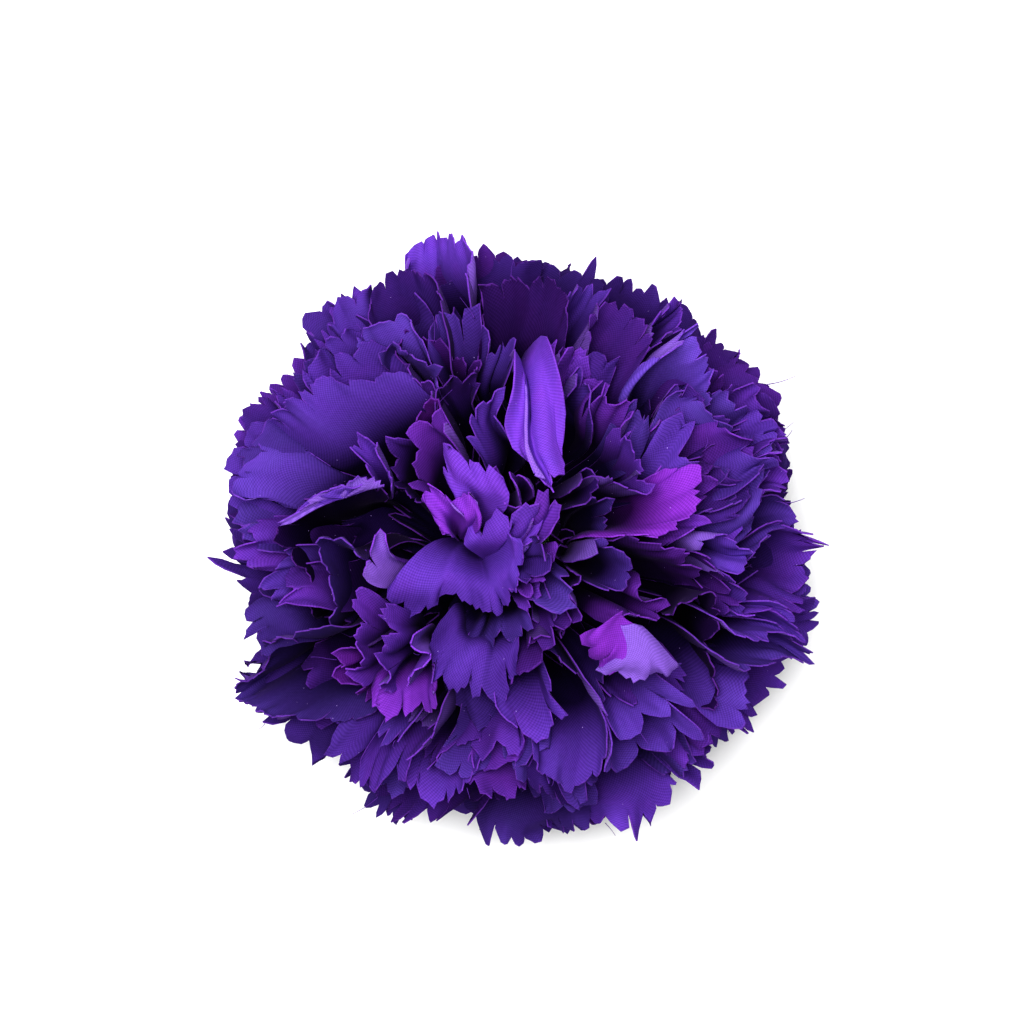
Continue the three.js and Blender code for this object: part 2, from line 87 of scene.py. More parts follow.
SLUB_NOISE = (1.6, 4)  # how often in a mm, and in how many finer steps
FRAYED_SLUB = 0.52  # threads thicker than this fray
BLUSH_SWAY = 0.5  # how much the colour wanders within a petal
BLOTCH_NOISE = (0.22, 3)
PAINTED_SHADE_START = 1  # mm inside the head's rounded outside, where the painted shade begins
PAINTED_SHADE_FULL = 8.5
PAINTED_SHADE_LEFT = 0.12  # brightness the painted shade leaves at that depth
CLOTH_FINISH = dict(
    Roughness=0.45, Specular_IOR_Level=0.0, Sheen_Weight=0.04, Sheen_Roughness=0.35,
    Sheen_Tint=(0.62, 0.42, 1, 1),
)

# Parts that stay as they are: material name, dark and light colour, roughness, grains in a metre, metallic
FINISHES = {
    "calyx": ("calyx_green", (0.050, 0.140, 0.026, 1), (0.100, 0.240, 0.055, 1), 0.5, 2500, 0),
    "pin": ("pin_ivory", (0.60, 0.57, 0.46, 1), (0.74, 0.71, 0.60, 1), 0.5, 2500, 0),
    "stem_stub": ("stem_green", (0.036, 0.115, 0.022, 1), (0.065, 0.180, 0.040, 1), 0.55, 4000, 0),
    "stem_wire": ("wire_steel", (0.20, 0.20, 0.21, 1), (0.34, 0.34, 0.35, 1), 0.4, 6000, 1),
}
SPECKLE_NOISE = (300, 4)  # blotches of the two colours in a metre, and their finer steps
GRAIN_DETAIL = 3
GRAIN_HEIGHT = 0.05  # mm
GRAIN_BUMP = 0.3
GLOSS_SPREAD = 0.1

# ------------ how the head is made, in mm
CLOTH = 0.22  # thickness of the cloth
CUT_EDGE = 0.15  # width of the pale line along a cut, a painted highlight
PIECE_PETALS = 14  # petals in one piece, at most
ROOT_RADIUS = 4  # petals leave the pin here
LOWEST_ROOT = 20.5  # where the petals that reach furthest leave it
ROOT_SPREAD = 12  # how much higher one without any reach would
WIDEST_REACH = 46
SUNK = 2  # distance from the root where the modelled cloth begins
LIP_START = 0.7  # share of a petal's length where its lip turns out
RUFFLED = 8  # how far in from the rim the ruffles go
RUFFLE_PULL = 0.35  # how far a ruffle draws the cloth in, in shares of its height
WAVE_DRIFT = 0.15  # how much closer the ruffles get towards one side
RIM_POINTS = 5  # in a rim made by rule
RIM_ROUNDING = 0.07  # how much less far a plain rim reaches at its corners
SLOW_WAVE = 0.5  # height of the slow waves of a petal's face
SLOW_RATE = 0.35  # radians to a mm of the rim
SLOW_TWIST = 4  # radians from root to rim
CRIMPED = 4  # how far in from the notches the cutting has crimped the cloth
CRIMPS = [(5.5, 1, 20), (3.1, 0.6, 21)]  # wavelength, share of the height, trait number
CURL = 0.45  # how far the lobes curl, in shares of their depth
CURL_POWER = 1.6
CURL_CUPPED = 0.6
MOST_CURL = 1.5
DOME_RADIUS = 46.5  # the rounded outside of the head
DOME_FOOT = 22
DOME_RISE = 35
FACE_ROWS = 16 if FINE else 8  # rows of the mesh from the root to the teeth
TOOTH_ROWS = 7 if FINE else 4

# The cut of the rim, in shares of the depth or half the width of a lobe
FREE_TEETH = 1.6  # how far in from the rim the finest rows go
FREE_MARGIN = 2  # mm more than that
LEAST_TOOTH = 1  # mm
NICK_WIDTH = 1.3  # mm
NICK_SWAY = 0.25
NARROW_SLIT = [-0.93, 0.93]  # the sides of a slit between two lobes
UNSLIT = 0.35  # share of the notches that have no slit
LOBE_SWAY = 0.5  # how much the lobes differ in width
SHALLOWEST_LOBE = 0.4
LOBE_SPREAD = 0.8  # how much deeper the deepest one is
PEAK_SWAY = 0.35  # how far a lobe's tip is from its middle
CORNER_DROP = 0.06  # how much shorter the corners are, in shares of the petal's length
CORNER_POWER = 6

# How each point of the crushed head moves in x, y and z: two waves each, with their height, their
# mm to a radian along x, y and z, and their phase
CRUSH_WAVES = [
    [(1, (math.inf, 3.1, 5), 1), (0.8, (4.3, -5.7, math.inf), 2)],
    [(1, (2.9, math.inf, -4.7), 3), (0.8, (5.3, 4.1, math.inf), 5)],
    [(0.9, (3.7, 4.9, math.inf), 0), (0.7, (5.9, -3.3, math.inf), 4)],
]
CRUSH_FOOT = 6  # height where the crushing begins
CRUSH_RISE = 20  # and how much further up it is full

THREADS_PER_PETAL = 4
THREAD_SHARE = 0.08  # how many of them are there
THREAD_WIDTH = 0.14
THREAD_STEPS = 8
THREAD_ASIDE = 0.9  # how far from the middle of the rim one can start
THREAD_START = 0.97  # and at what share of the petal's length
THREAD_STRAY = 0.02
THREAD_AIM = 0.1  # share of it whose direction it follows at first
THREAD_LIFT = 0.6
SHORTEST_THREAD = 1
THREAD_SPREAD = 3  # how much longer the longest one is
THREAD_BEND = 0.8
THREAD_TWIST = 0.25
THREAD_TAPER = 0.5

# Every petal is described by its rim: points [x, y, height] from its right-hand corner to its
# left-hand one, seen from the axis. Its midrib runs from the pin, or from `root`, to the middle of
# the rim and stands `arch` above the straight line, unless it passes through the points of `via`. A
# petal of a ring has a rim by rule from reach, height and fan, half its angle, and is skewed by up
# to `skew`. `waves` ruffles are `ruffle` high.
# Finer than in the solid bloom: lobe is the width of a lobe of the rim, cut its depth, slit how much
# deeper the narrow cuts between two lobes go, point how pointed the lobes are, nick the depth of the
# nicks in them, crimp the height of the small waves along the rim, turned shows the reverse of the
# cloth, and blush is its colour. tone is how bright it is: it strays at random, and the tones given to
# placed petals are painted light and shade, lighter on lips and faces that the light falls on and
# darker in cups, hollows and petals that lie in shade.
PLAIN = dict(
    arch=8, via=(), root=None, ruffle=0, waves=2, lobe=2.9, cut=3.4, slit=0.8, point=1.5, nick=0.15,
    crimp=0.25, turned=0, tone=0.0, blush=0.0,
)
FINE_RIM = dict(lobe=3.7, cut=2.1, slit=2.4, point=2.0, nick=0.8)
TONE_SWAY = 0.3
TINT_SWAY = 0.4  # the same for the blush

RINGS = [
    dict(count=10, reach=37.5, skew=1, height=-0.2, arch=13, fan=19, ruffle=1.0, waves=2),
    dict(count=11, reach=43, skew=3, height=11, arch=10, fan=19, ruffle=1.8, waves=2),
    dict(count=12, reach=45, skew=3, height=19, arch=8, fan=17, ruffle=2.2, waves=2),
    dict(count=12, reach=44, skew=3, height=26, arch=7, fan=17, ruffle=2.4, waves=2.5),
    dict(count=11, reach=38, skew=5, height=31, arch=6, fan=19, ruffle=3.0, waves=3.5),
    dict(count=10, reach=30, skew=6, height=35, arch=4, fan=21, ruffle=3.0, waves=4),
    dict(count=7, reach=19, skew=7, height=40, arch=2, fan=25, ruffle=3.0, waves=4),
    dict(count=5, reach=8, skew=3, height=45, arch=0, fan=36, ruffle=2.0, waves=3),
]
# How far they stray: azimuth in shares of the space between two petals, height and tilt in mm, the
# others in shares of the ring's own value
RING_SWAY = dict(azimuth=0.3, reach=0.04, height=2.5, tilt=4, ruffle=0.5, lobe=0.3, cut=0.3)

FRILL = dict(arch=5, ruffle=1.4, lobe=3.4, cut=1.8, slit=1.5)
FRILL_WAVE = 5  # mm of rim to half a ruffle
# The same for the frills, with tilt and skew in shares of half their width, the others in mm
FRILL_SWAY = dict(tilt=0.5, skew=0.6, arch=2, ruffle=0.7)
FIRST_PLACED = 200  # seed of the first petal in PLACED
FIRST_FRILL = 400

# Any uneven numbers do for the draws, but others make another flower
PETAL_STEP = 127.1
TRAIT_STEP = 311.7
DRAW_SCALE = 43758.5453
TINY = 1e-9  # keeps a division from failing

# The petals that stand out in the photograph, placed one by one
PLACED = [
    # broad_left
    dict(arch=5, lobe=4, cut=2.2, blush=-0.5, rim=[[-16.5, 25.5, 46.5], [-21.5, 25, 45.5],
        [-26.5, 24.5, 45], [-31.5, 21.5, 43], [-37, 17, 38], [-42, 12, 32], [-43, 5.5, 31.5]]),
    # left_cup
    dict(arch=-4, tone=-0.6, rim=[[-19.5, 8, 55], [-24, 7, 52.5], [-28, 5.5, 50.5], [-31, 4.5, 48],
        [-33, 2, 45.5], [-33.5, -0.5, 45.5], [-32.5, -4.5, 45], [-31.5, -8, 44], [-30, -11.5, 43]]),
    # cup_lip
    dict(turned=1, arch=0, tone=0.3, lobe=6, cut=0.5, slit=0.3, root=[-25.5, 5, 51], rim=[[-19, 9, 56],
        [-23.5, 7.5, 54.5], [-28, 6, 51.5], [-31, 4.5, 49], [-33.5, 2, 46.5]]),
    # left_curl
    dict(arch=0, tone=0.4, blush=0.2, root=[-18, 6, 42], rim=[[-19, 9, 55], [-19.5, 13, 55],
        [-20.5, 16, 54], [-22, 17, 53], [-23, 15, 52], [-23, 11.5, 52], [-22, 8.5, 52]]),
    # left_strip
    dict(arch=-3, rim=[[-20, -1.5, 54.5], [-24, -0.5, 53], [-28, -0.5, 51], [-28.5, -3.5, 49.5],
        [-28, -6.5, 48.5], [-27, -10, 47.5], [-26, -12, 45.5]]),
    # ruffle_pale
    dict(turned=1, arch=1, tone=0.5, root=[-12, -7, 39.5], rim=[[-17.5, 0.5, 57.5], [-18.5, 1.5, 57],
        [-19.5, -1, 57], [-20.5, -3, 55.5], [-21.5, -4, 55]]),
    # ruffle_a
    dict(arch=0, blush=0.2, lobe=4, cut=1.2, root=[-14, -12.5, 38], rim=[[-20.5, -4.5, 53.5],
        [-22.5, -7, 53.5], [-21.5, -10, 52], [-23.5, -12.5, 51], [-22, -15.5, 49.5], [-23, -18.5, 47],
        [-22, -21, 45.5]]),
    # ruffle_b
    dict(arch=0, tone=0.3, lobe=4, cut=1.2, root=[-11.5, -14, 38], rim=[[-17.5, -6.5, 56], [-19, -9, 55],
        [-18, -11.5, 54], [-20, -14, 53], [-18, -17, 51.5], [-19.5, -19.5, 49], [-19, -21.5, 46.5]]),
    # ruffle_c
    dict(turned=1, arch=0, tone=0.5, lobe=4, cut=1.2, root=[-10, -14, 38.5], rim=[[-15, -10.5, 55],
        [-16.5, -12.5, 54.5], [-14.5, -15, 54.5], [-16, -17.5, 52], [-15, -20.5, 49.5]]),
    # tongue
    dict(arch=4, tone=0.35, blush=0.3, lobe=4.5, cut=1.6, root=[-5.5, 2, 47.5], rim=[[-19, -6.5, 49.5],
        [-17, -9, 50], [-14, -10, 51.5], [-11.5, -9, 53], [-9, -10, 52.5], [-6.5, -11, 51.5],
        [-3.5, -11.5, 52], [-1.5, -9, 53.5], [0.5, -6, 55.5], [1, -2.5, 57], [-0.5, 1, 58]]),
    # under_tongue
    dict(arch=3, root=[-4.5, -7.5, 38.5], rim=[[-12.5, -11.5, 45.5], [-10, -14.5, 46.5], [-8, -15.5, 46.5],
        [-6, -14, 48], [-4.5, -17, 46.5], [-3.5, -14, 49.5], [-0.5, -13.5, 51.5], [2, -12, 53],
        [2.5, -9, 53.5]]),
    # front_row
    dict(arch=5, tone=0.4, root=[-5, -11, 38], rim=[[-14.5, -14, 48.5], [-12.5, -17, 49],
        [-11, -19.5, 48.5], [-9, -21, 48.5], [-6.5, -21, 49], [-3.5, -21, 49], [-1, -22, 49],
        [1, -20.5, 49.5], [2, -17, 50.5]]),
    # front_row_low
    dict(arch=5, root=[-4, -15.5, 33], rim=[[-11.5, -21, 43], [-8.5, -23, 43.5], [-5, -24.5, 43.5],
        [-1.5, -24.5, 43.5], [1, -23, 44.5], [3.5, -22.5, 44.5]]),
    # magenta_front
    dict(arch=5, blush=0.8, tone=0.1, root=[-13.5, -15.5, 35.5], rim=[[-22.5, -22.5, 43.5],
        [-22, -25, 43.5], [-20, -25.5, 44], [-16.5, -25, 47], [-13, -25.5, 46.5], [-11, -23.5, 48],
        [-11, -19.5, 48.5]]),
    # pale_below
    dict(turned=1, arch=2, tone=0.5, rim=[[-18, -25, 42.5], [-16.5, -27.5, 41.5], [-15, -27, 42.5],
        [-13.5, -28, 41], [-11.5, -27, 42], [-11, -25, 44.5]]),
    # magenta_lobes
    dict(arch=2, blush=0.6, rim=[[-22, -14, 49], [-23.5, -14, 49], [-25, -15.5, 48], [-24, -17.5, 47],
        [-25.5, -19.5, 44.5], [-23.5, -21, 43.5], [-24, -23, 41.5], [-23, -24, 40.5]]),
    # dark_lower_left
    dict(arch=4, lobe=4, cut=1.2, tone=-0.5, blush=-0.5, rim=[[-27.5, -12.5, 47], [-31.5, -14.5, 42.5],
        [-37, -17, 35], [-42, -22, 17], [-37.5, -24, 28.5], [-31.5, -25.5, 36.5], [-23.5, -26, 42]]),
    # lobed_lower
    dict(arch=4, rim=[[-23.5, -32.5, 38.5], [-22.5, -35, 37], [-20, -35.5, 38], [-17.5, -35, 40],
        [-15, -34, 42], [-12.5, -30.5, 46.5], [-12, -28, 48.5]]),
    # lobed_lower_top
    dict(arch=3, rim=[[-21.5, -26.5, 42], [-19.5, -30, 41.5], [-17, -30, 42.5], [-15.5, -28, 44.5],
        [-14.5, -25.5, 45]]),
    # bottom_a
    dict(lobe=3, cut=2, arch=4, rim=[[-16, -35.5, 39], [-14, -37, 38.5], [-11, -37.5, 38],
        [-8, -36.5, 39.5], [-6, -35.5, 41], [-5, -32, 45]]),
    # bottom_b
    dict(lobe=3, cut=2, arch=4, rim=[[-6.5, -31.5, 43.5], [-5, -34, 40.5], [-3, -37.5, 37],
        [-0.5, -37.5, 37], [1.5, -34, 40.5], [1.5, -31, 43]]),
    # bottom_c
    dict(arch=3, rim=[[-12.5, -27.5, 43.5], [-11, -33, 39.5], [-9, -31, 43], [-7, -28, 44.5], [-5, -29, 43],
        [-2.5, -28.5, 42.5]]),
    # smooth_bottom
    dict(arch=4, lobe=3.2, cut=1.0, slit=3, nick=0.3, blush=-0.5, rim=[[1.5, -30.5, 48.5], [3, -33, 45.5],
        [5.5, -34.5, 44.5], [8.5, -35, 43.5], [11, -34, 43.5], [12.5, -31.5, 46], [12.5, -28.5, 49]]),
    # ruffled_bottom
    dict(arch=3, blush=-0.3, rim=[[-1.5, -22.5, 50.5], [0.5, -25.5, 49.5], [2.5, -26.5, 49],
        [4.5, -25.5, 49], [5.5, -24.5, 50.5], [6, -21.5, 51.5]]),
    # front_right_small
    dict(arch=3, rim=[[4.5, -16, 48.5], [6.5, -18.5, 50], [8, -21, 49.5], [9, -21.5, 47], [11, -22.5, 47.5],
        [13, -21, 47.5], [13.5, -19, 48.5]]),
    # rounded_lobes
    dict(lobe=5.2, cut=3.6, slit=1.0, point=2.4, nick=0.2, arch=4, tone=0.3, blush=-0.3,
        rim=[[10, -22.5, 50.5], [12, -26, 48.5], [15, -28, 46.5], [18, -28, 45.5], [21, -27, 44.5],
        [24, -25.5, 45], [25.5, -22, 47]]),
    # rounded_lobes_low
    dict(lobe=5.6, cut=3.4, slit=1.0, point=2.4, nick=0.2, arch=4, tone=0.35, rim=[[13, -29.5, 48],
        [15, -32.5, 44.5], [18, -34, 42], [21, -33.5, 41], [23.5, -32, 40], [25.5, -30, 42],
        [25.5, -27, 45]]),
    # magenta_lobe
    dict(turned=1, arch=3, blush=0.7, tone=0.4, root=[15.5, -9, 57], rim=[[14, -20, 54], [11.5, -18.5, 55],
        [9.5, -16.5, 56], [8.5, -14, 57], [10, -11, 57]]),
    # flap
    dict(arch=2, tone=0.05, lobe=4.5, cut=1.0, root=[14, -9.5, 58.5], rim=[[25.5, -17, 49],
        [22.5, -17.5, 52], [19.5, -17, 54], [16.5, -18, 55], [14, -18.5, 55], [12, -19, 54.5],
        [10.5, -18.5, 54]]),
    # under_flap
    dict(arch=3, rim=[[12, -21, 47], [15.5, -23, 45], [19, -23, 44], [23, -22.5, 42.5], [25.5, -20.5, 43],
        [25.5, -17.5, 44]]),
    # right_cup
    dict(arch=-5, tone=-0.5, rim=[[25, -23.5, 41.5], [28.5, -22, 41], [30.5, -18.5, 42.5],
        [29.5, -15.5, 45.5], [28.5, -12, 49], [27.5, -9.5, 51], [25, -8, 53], [21.5, -8.5, 54.5],
        [19, -9.5, 53]]),
    # right_broad
    dict(arch=4, lobe=3.2, cut=2.4, slit=2, rim=[[34, -10, 45], [39, -10, 38.5], [42, -9, 33],
        [43, -6.5, 32.5], [44.5, -3.5, 30], [45, -0.5, 29.5], [43.5, 2, 33], [39.5, 2, 39.5]]),
    # right_low_a
    dict(arch=4, lobe=3.4, cut=1.4, tone=0.25, rim=[[31, -13, 49], [35.5, -14, 45], [41.5, -14, 35],
        [42, -12, 36], [40.5, -9.5, 41]]),
    # right_low_b
    dict(arch=4, lobe=3.4, cut=1.4, tone=0.15, rim=[[30, -16.5, 47.5], [35, -18, 42.5], [40.5, -18.5, 33],
        [41.5, -16.5, 32.5], [40, -14, 38.5]]),
    # right_fold
    dict(arch=1, rim=[[31, -4.5, 48], [33, -2.5, 47.5], [35.5, 0, 46], [33.5, 1, 48], [31, 1.5, 49],
        [28, 0, 50], [27, -2.5, 49.5]]),
    # right_dark_a
    dict(arch=2, tone=-0.2, rim=[[32, -11, 44], [33.5, -9, 44], [33, -7, 45], [31.5, -5, 46.5],
        [29.5, -4, 48], [27.5, -6, 48]]),
    # right_dark_b
    dict(arch=1, blush=0.3, rim=[[26.5, -9, 47], [25, -6.5, 49], [24.5, -4, 50.5], [23.5, -2, 52],
        [22, 0, 53], [18, 0.5, 54], [15.5, -0.5, 54]]),
    # right_dark_c
    dict(arch=1, blush=0.3, rim=[[28.5, -8, 45], [30, -6.5, 45.5], [28.5, -4, 47.5], [28, -2.5, 48],
        [26, -2, 49], [25, -2.5, 48.5]]),
    # right_small_ruffle
    dict(arch=1, rim=[[12, -6.5, 52.5], [15, -6, 53], [17.5, -4, 53.5], [16.5, -2, 54.5],
        [13.5, -0.5, 55.5], [11.5, -2.5, 55], [9.5, -3.5, 54]]),
    # right_mid_face
    dict(arch=1, blush=0.4, rim=[[12, -12, 50.5], [14.5, -10, 52.5], [16.5, -9, 52], [19, -10, 50],
        [19.5, -8, 50.5], [17.5, -6.5, 51], [19, -4, 50]]),
    # bright_magenta
    dict(arch=3, blush=0.8, rim=[[15, -0.5, 55], [19, 1.5, 55], [22.5, 4, 54.5], [25, 6, 53], [26, 8.5, 51],
        [25, 11, 50.5], [23, 12, 50], [20, 12, 50.5]]),
    # right_lobes_a
    dict(arch=2, rim=[[27, 3.5, 47.5], [29.5, 5, 47], [32, 6.5, 45], [31.5, 8.5, 44], [29.5, 9, 46],
        [29.5, 10.5, 45], [27.5, 11.5, 45]]),
    # right_lobes_b
    dict(arch=2, blush=0.6, rim=[[22.5, -0.5, 50.5], [25.5, 1.5, 50.5], [27.5, 3, 49], [26.5, 5, 49.5],
        [24.5, 5.5, 49.5]]),
    # right_lobes_c
    dict(arch=3, tone=0.2, rim=[[31.5, 2.5, 45], [36, 4.5, 42], [40, 6.5, 36.5], [41.5, 9, 33],
        [40.5, 11, 33.5], [37.5, 12.5, 38.5], [34.5, 13, 40.5]]),
    # right_lobes_d
    dict(arch=3, tone=0.2, rim=[[32, -1.5, 44.5], [36.5, -0.5, 40.5], [40.5, 2, 36], [42.5, 4.5, 33],
        [40, 6, 36.5]]),
    # right_lobes_e
    dict(arch=3, tone=0.1, rim=[[31.5, 10.5, 42.5], [34, 12.5, 40], [37.5, 15, 36], [40, 13.5, 31.5],
        [37.5, 17, 34.5], [33, 18, 38.5], [30, 17.5, 41]]),
    # face_upper_right
    dict(arch=1, rim=[[9.5, 9, 54.5], [12.5, 8, 54], [16, 9, 53], [19, 10, 52], [17, 12, 53.5],
        [18.5, 14, 52.5], [16.5, 16, 52.5], [17.5, 17.5, 51.5], [14, 18, 52.5]]),
    # face_upper_top
    dict(arch=1, blush=0.3, rim=[[15, 17.5, 51.5], [17, 20, 51], [16.5, 21.5, 51.5], [14, 21, 51.5],
        [13, 22.5, 51], [11, 20.5, 52.5], [10, 24.5, 50]]),
    # dark_lobes_right
    dict(arch=2, tone=-0.2, rim=[[25, 11.5, 47.5], [27.5, 13.5, 45.5], [29.5, 15.5, 43.5], [28.5, 18, 43],
        [26.5, 19, 44], [24, 18.5, 45.5], [23, 17.5, 46.5]]),
    # dark_lobes_right_b
    dict(arch=2, blush=0.3, rim=[[17.5, 10.5, 49.5], [21.5, 13, 47.5], [22.5, 16, 46], [21, 18, 46],
        [18.5, 17, 47.5], [17.5, 20.5, 46.5]]),
    # frayed_ruffle
    dict(arch=2, rim=[[31.5, 16, 41.5], [33, 18, 40.5], [30.5, 17, 42], [30, 19.5, 43.5], [28, 18, 44.5],
        [27.5, 21, 44.5], [26, 19.5, 45], [25, 21.5, 46], [23, 20, 45.5]]),
    # upper_small
    dict(arch=3, blush=0.3, rim=[[12, 24.5, 47.5], [9.5, 26.5, 48], [8.5, 25.5, 46.5], [7, 27.5, 47.5],
        [6.5, 25.5, 47], [4.5, 28, 48], [4, 26, 48], [2, 25, 47.5]]),
    # sheen_cylinder
    dict(arch=3, tone=0.4, lobe=3.6, cut=1.8, slit=2, rim=[[29, 20.5, 41.5], [30.5, 23, 40], [30, 27.5, 38],
        [27, 29.5, 42], [24.5, 31.5, 43], [20.5, 28, 48], [18.5, 26.5, 46.5], [17.5, 23, 45.5]]),
    # slim_upright
    dict(arch=3, lobe=3, cut=1.4, tone=-0.2, rim=[[20, 27.5, 42], [22.5, 32, 39], [23, 36.5, 33.5],
        [21, 35, 38], [19, 30, 43], [18, 27.5, 42]]),
    # smooth_upper
    dict(arch=5, lobe=3.2, cut=1.4, tone=-0.15, rim=[[18.5, 26, 45.5], [19, 29, 44.5], [18, 31.5, 44],
        [16, 35, 42.5], [14.5, 36, 42], [12, 35.5, 44], [10.5, 31.5, 45.5], [11, 28, 47]]),
    # upper_mid
    dict(arch=4, lobe=3.2, cut=2.0, rim=[[12.5, 32, 42.5], [12, 37, 39.5], [10.5, 39.5, 37], [8, 37.5, 40],
        [6.5, 34, 42], [6.5, 30.5, 44]]),
    # dark_upper
    dict(arch=5, lobe=4, cut=1, tone=-0.5, rim=[[8, 28.5, 47], [7.5, 33, 45], [6, 35.5, 43.5],
        [3.5, 36.5, 42.5], [0.5, 36.5, 42.5], [-2.5, 38, 41], [-5, 38, 41], [-6.5, 36.5, 41],
        [-7, 32.5, 43.5]]),
    # folded_bright
    dict(turned=1, arch=0, tone=0.6,
        via=[[0.5, 17.5, 32.5], [0.5, 25.5, 45.5], [1.5, 24, 54], [2.5, 17, 58.5]], rim=[[7.5, 13.5, 58],
        [6.5, 11, 57.5], [5, 9, 59], [3.5, 7.5, 57.5], [2.5, 8.5, 60.5], [1.5, 11.5, 58],
        [-0.5, 13.5, 58.5]]),
    # tent
    dict(arch=1, rim=[[0, 15.5, 54], [-1, 20.5, 54.5], [-2.5, 22, 55], [-3.5, 20, 56.5], [-4.5, 14.5, 55],
        [-5, 11.5, 52.5]]),
    # tent_right
    dict(arch=1, rim=[[11.5, 17.5, 52.5], [10, 23.5, 51.5], [9, 25, 51.5], [7, 21.5, 54.5], [6, 18.5, 54.5],
        [6.5, 14.5, 54]]),
    # light_out
    dict(arch=4, lobe=4, cut=2.0, tone=0.4, blush=-0.3, rim=[[-8, 40, 36.5], [-8, 43.5, 29],
        [-11.5, 45.5, 17], [-14.5, 45.5, 17], [-16.5, 44, 18], [-16, 40, 32]]),
    # dark_round
    dict(arch=5, lobe=4, cut=1.2, tone=-0.35, rim=[[-12, 34.5, 43.5], [-12.5, 39.5, 38], [-16, 40.5, 34],
        [-19.5, 39, 34], [-21.5, 36.5, 35.5], [-21, 33, 39]]),
    # lobes_upper
    dict(arch=3, tone=0.2, rim=[[-1, 27, 47.5], [-1, 30.5, 46.5], [-3.5, 31.5, 45.5], [-4.5, 30, 45.5],
        [-6.5, 33.5, 44.5], [-8.5, 35, 43], [-11, 34.5, 43], [-12.5, 35, 41], [-13.5, 32.5, 42],
        [-14, 30, 42]]),
    # light_upper_left
    dict(arch=3, tone=0.3, rim=[[-14, 29, 44.5], [-15, 32, 42.5], [-17, 33.5, 42], [-19, 32.5, 41.5],
        [-21, 31.5, 40.5], [-22, 31, 39.5], [-21.5, 28, 40]]),
    # cave
    dict(arch=-2, tone=-0.6, blush=0.2, rim=[[-5, 23.5, 48], [-5.5, 27.5, 47], [-8.5, 27, 44.5],
        [-11, 28.5, 43.5], [-13.5, 29, 42.5], [-15.5, 30, 41.5], [-17, 28, 42], [-17, 24.5, 43]]),
    # cave_lip
    dict(arch=-3, tone=-0.2, rim=[[-10, 20, 51.5], [-11, 22, 51.5], [-12.5, 24.5, 50.5], [-15, 25.5, 49],
        [-16.5, 26.5, 48], [-18, 28, 45.5], [-19, 25, 45]]),
    # cave_front
    dict(arch=-2, tone=-0.2, blush=0.5, rim=[[-4.5, 21.5, 51], [-5.5, 24, 51.5], [-7.5, 22.5, 52],
        [-9, 21, 52.5], [-11, 20.5, 51.5], [-11, 17, 51.5]]),
    # cave_small
    dict(arch=1, rim=[[-11, 17.5, 51.5], [-11.5, 21.5, 49], [-13, 22.5, 48], [-14.5, 22.5, 46.5],
        [-15.5, 24, 45.5], [-16.5, 21, 44.5]]),
    # dark_magenta_small
    dict(arch=0, blush=0.8, tone=-0.2, rim=[[-10.5, 17.5, 53.5], [-11, 19, 53], [-13, 19, 52.5],
        [-14.5, 17.5, 51.5], [-14, 15.5, 51.5]]),
    # dark_inner_left
    dict(arch=0, blush=0.4, tone=-0.2, rim=[[-12, 15.5, 50.5], [-16, 16, 50.5], [-19, 16, 49.5],
        [-19.5, 13, 49], [-19.5, 10.5, 49.5], [-16.5, 8, 50], [-13, 6.5, 50.5]]),
    # violet_left
    dict(arch=2, tone=0.3, blush=0.3, rim=[[-8.5, 13.5, 54], [-9.5, 16, 54], [-10.5, 17.5, 54.5],
        [-11.5, 16, 53.5], [-13, 17, 53], [-15, 15.5, 53], [-16, 11.5, 52.5], [-14.5, 8.5, 52.5],
        [-12.5, 6.5, 52.5]]),
    # rosette_a
    dict(arch=3, tone=0.2, blush=0.3, root=[-5.5, 2.5, 48.5], rim=[[-1.5, 9, 57.5], [-3, 10.5, 58],
        [-5, 11, 58], [-6.5, 12.5, 58.5], [-8, 13.5, 58], [-9.5, 11.5, 57], [-9.5, 8.5, 56.5]]),
    # rosette_b
    dict(arch=3, tone=0.2, blush=0.3, root=[-7, 0, 48.5], rim=[[-6, 5, 58.5], [-7, 8.5, 59],
        [-8.5, 7.5, 59], [-9.5, 8.5, 59.5], [-11, 10.5, 59], [-12.5, 10.5, 58], [-12.5, 7, 57.5],
        [-11, 3.5, 57]]),
    # rosette_c
    dict(arch=2, tone=0.3, blush=0.3, root=[-3, -2, 50], rim=[[2, 2.5, 57], [1.5, 5.5, 56.5],
        [-0.5, 6, 58.5], [-2, 4.5, 58], [-4, 4, 57.5], [-6.5, 3, 56.5], [-8, 1, 55.5]]),
    # centre_right
    dict(arch=1, root=[-0.5, -0.5, 48], rim=[[4.5, 2.5, 58], [4, 6, 57.5], [3.5, 7, 58.5], [2, 6, 58.5],
        [1, 3, 58]]),
    # centre_hook
    dict(arch=0, blush=0.5, rim=[[0.5, 7.5, 56.5], [0.5, 9.5, 57], [-0.5, 10, 57], [-1, 9, 58.5],
        [-1.5, 6, 57.5], [-2.5, 7.5, 56.5], [-3, 10.5, 55], [-4, 7.5, 55.5]]),
    # ruffle_right_a
    dict(arch=0, root=[-2, -0.5, 49], rim=[[0.5, -3.5, 58], [3.5, -3, 58], [5.5, -2, 57.5],
        [5.5, -0.5, 57.5], [4, 0.5, 59], [3, 2, 59], [1.5, 3, 58]]),
    # ruffle_right_b
    dict(arch=0, blush=0.2, root=[-1.5, -1.5, 47], rim=[[-0.5, -6.5, 55.5], [2, -6, 56.5], [4, -5, 56.5],
        [4.5, -3, 57], [6, -2, 55.5], [6.5, 1.5, 55.5]]),
    # ruffle_right_c
    dict(arch=1, blush=0.2, root=[-1, -2, 45], rim=[[0, -8.5, 54.5], [2.5, -8.5, 54.5], [4.5, -7, 54.5],
        [6, -4.5, 53.5]]),
    # grey_strip
    dict(turned=1, arch=1, rim=[[2, -9.5, 52], [3.5, -12, 51.5], [5, -11, 52], [5, -8, 53], [5, -5, 53.5]]),
    # dark_lobe_centre
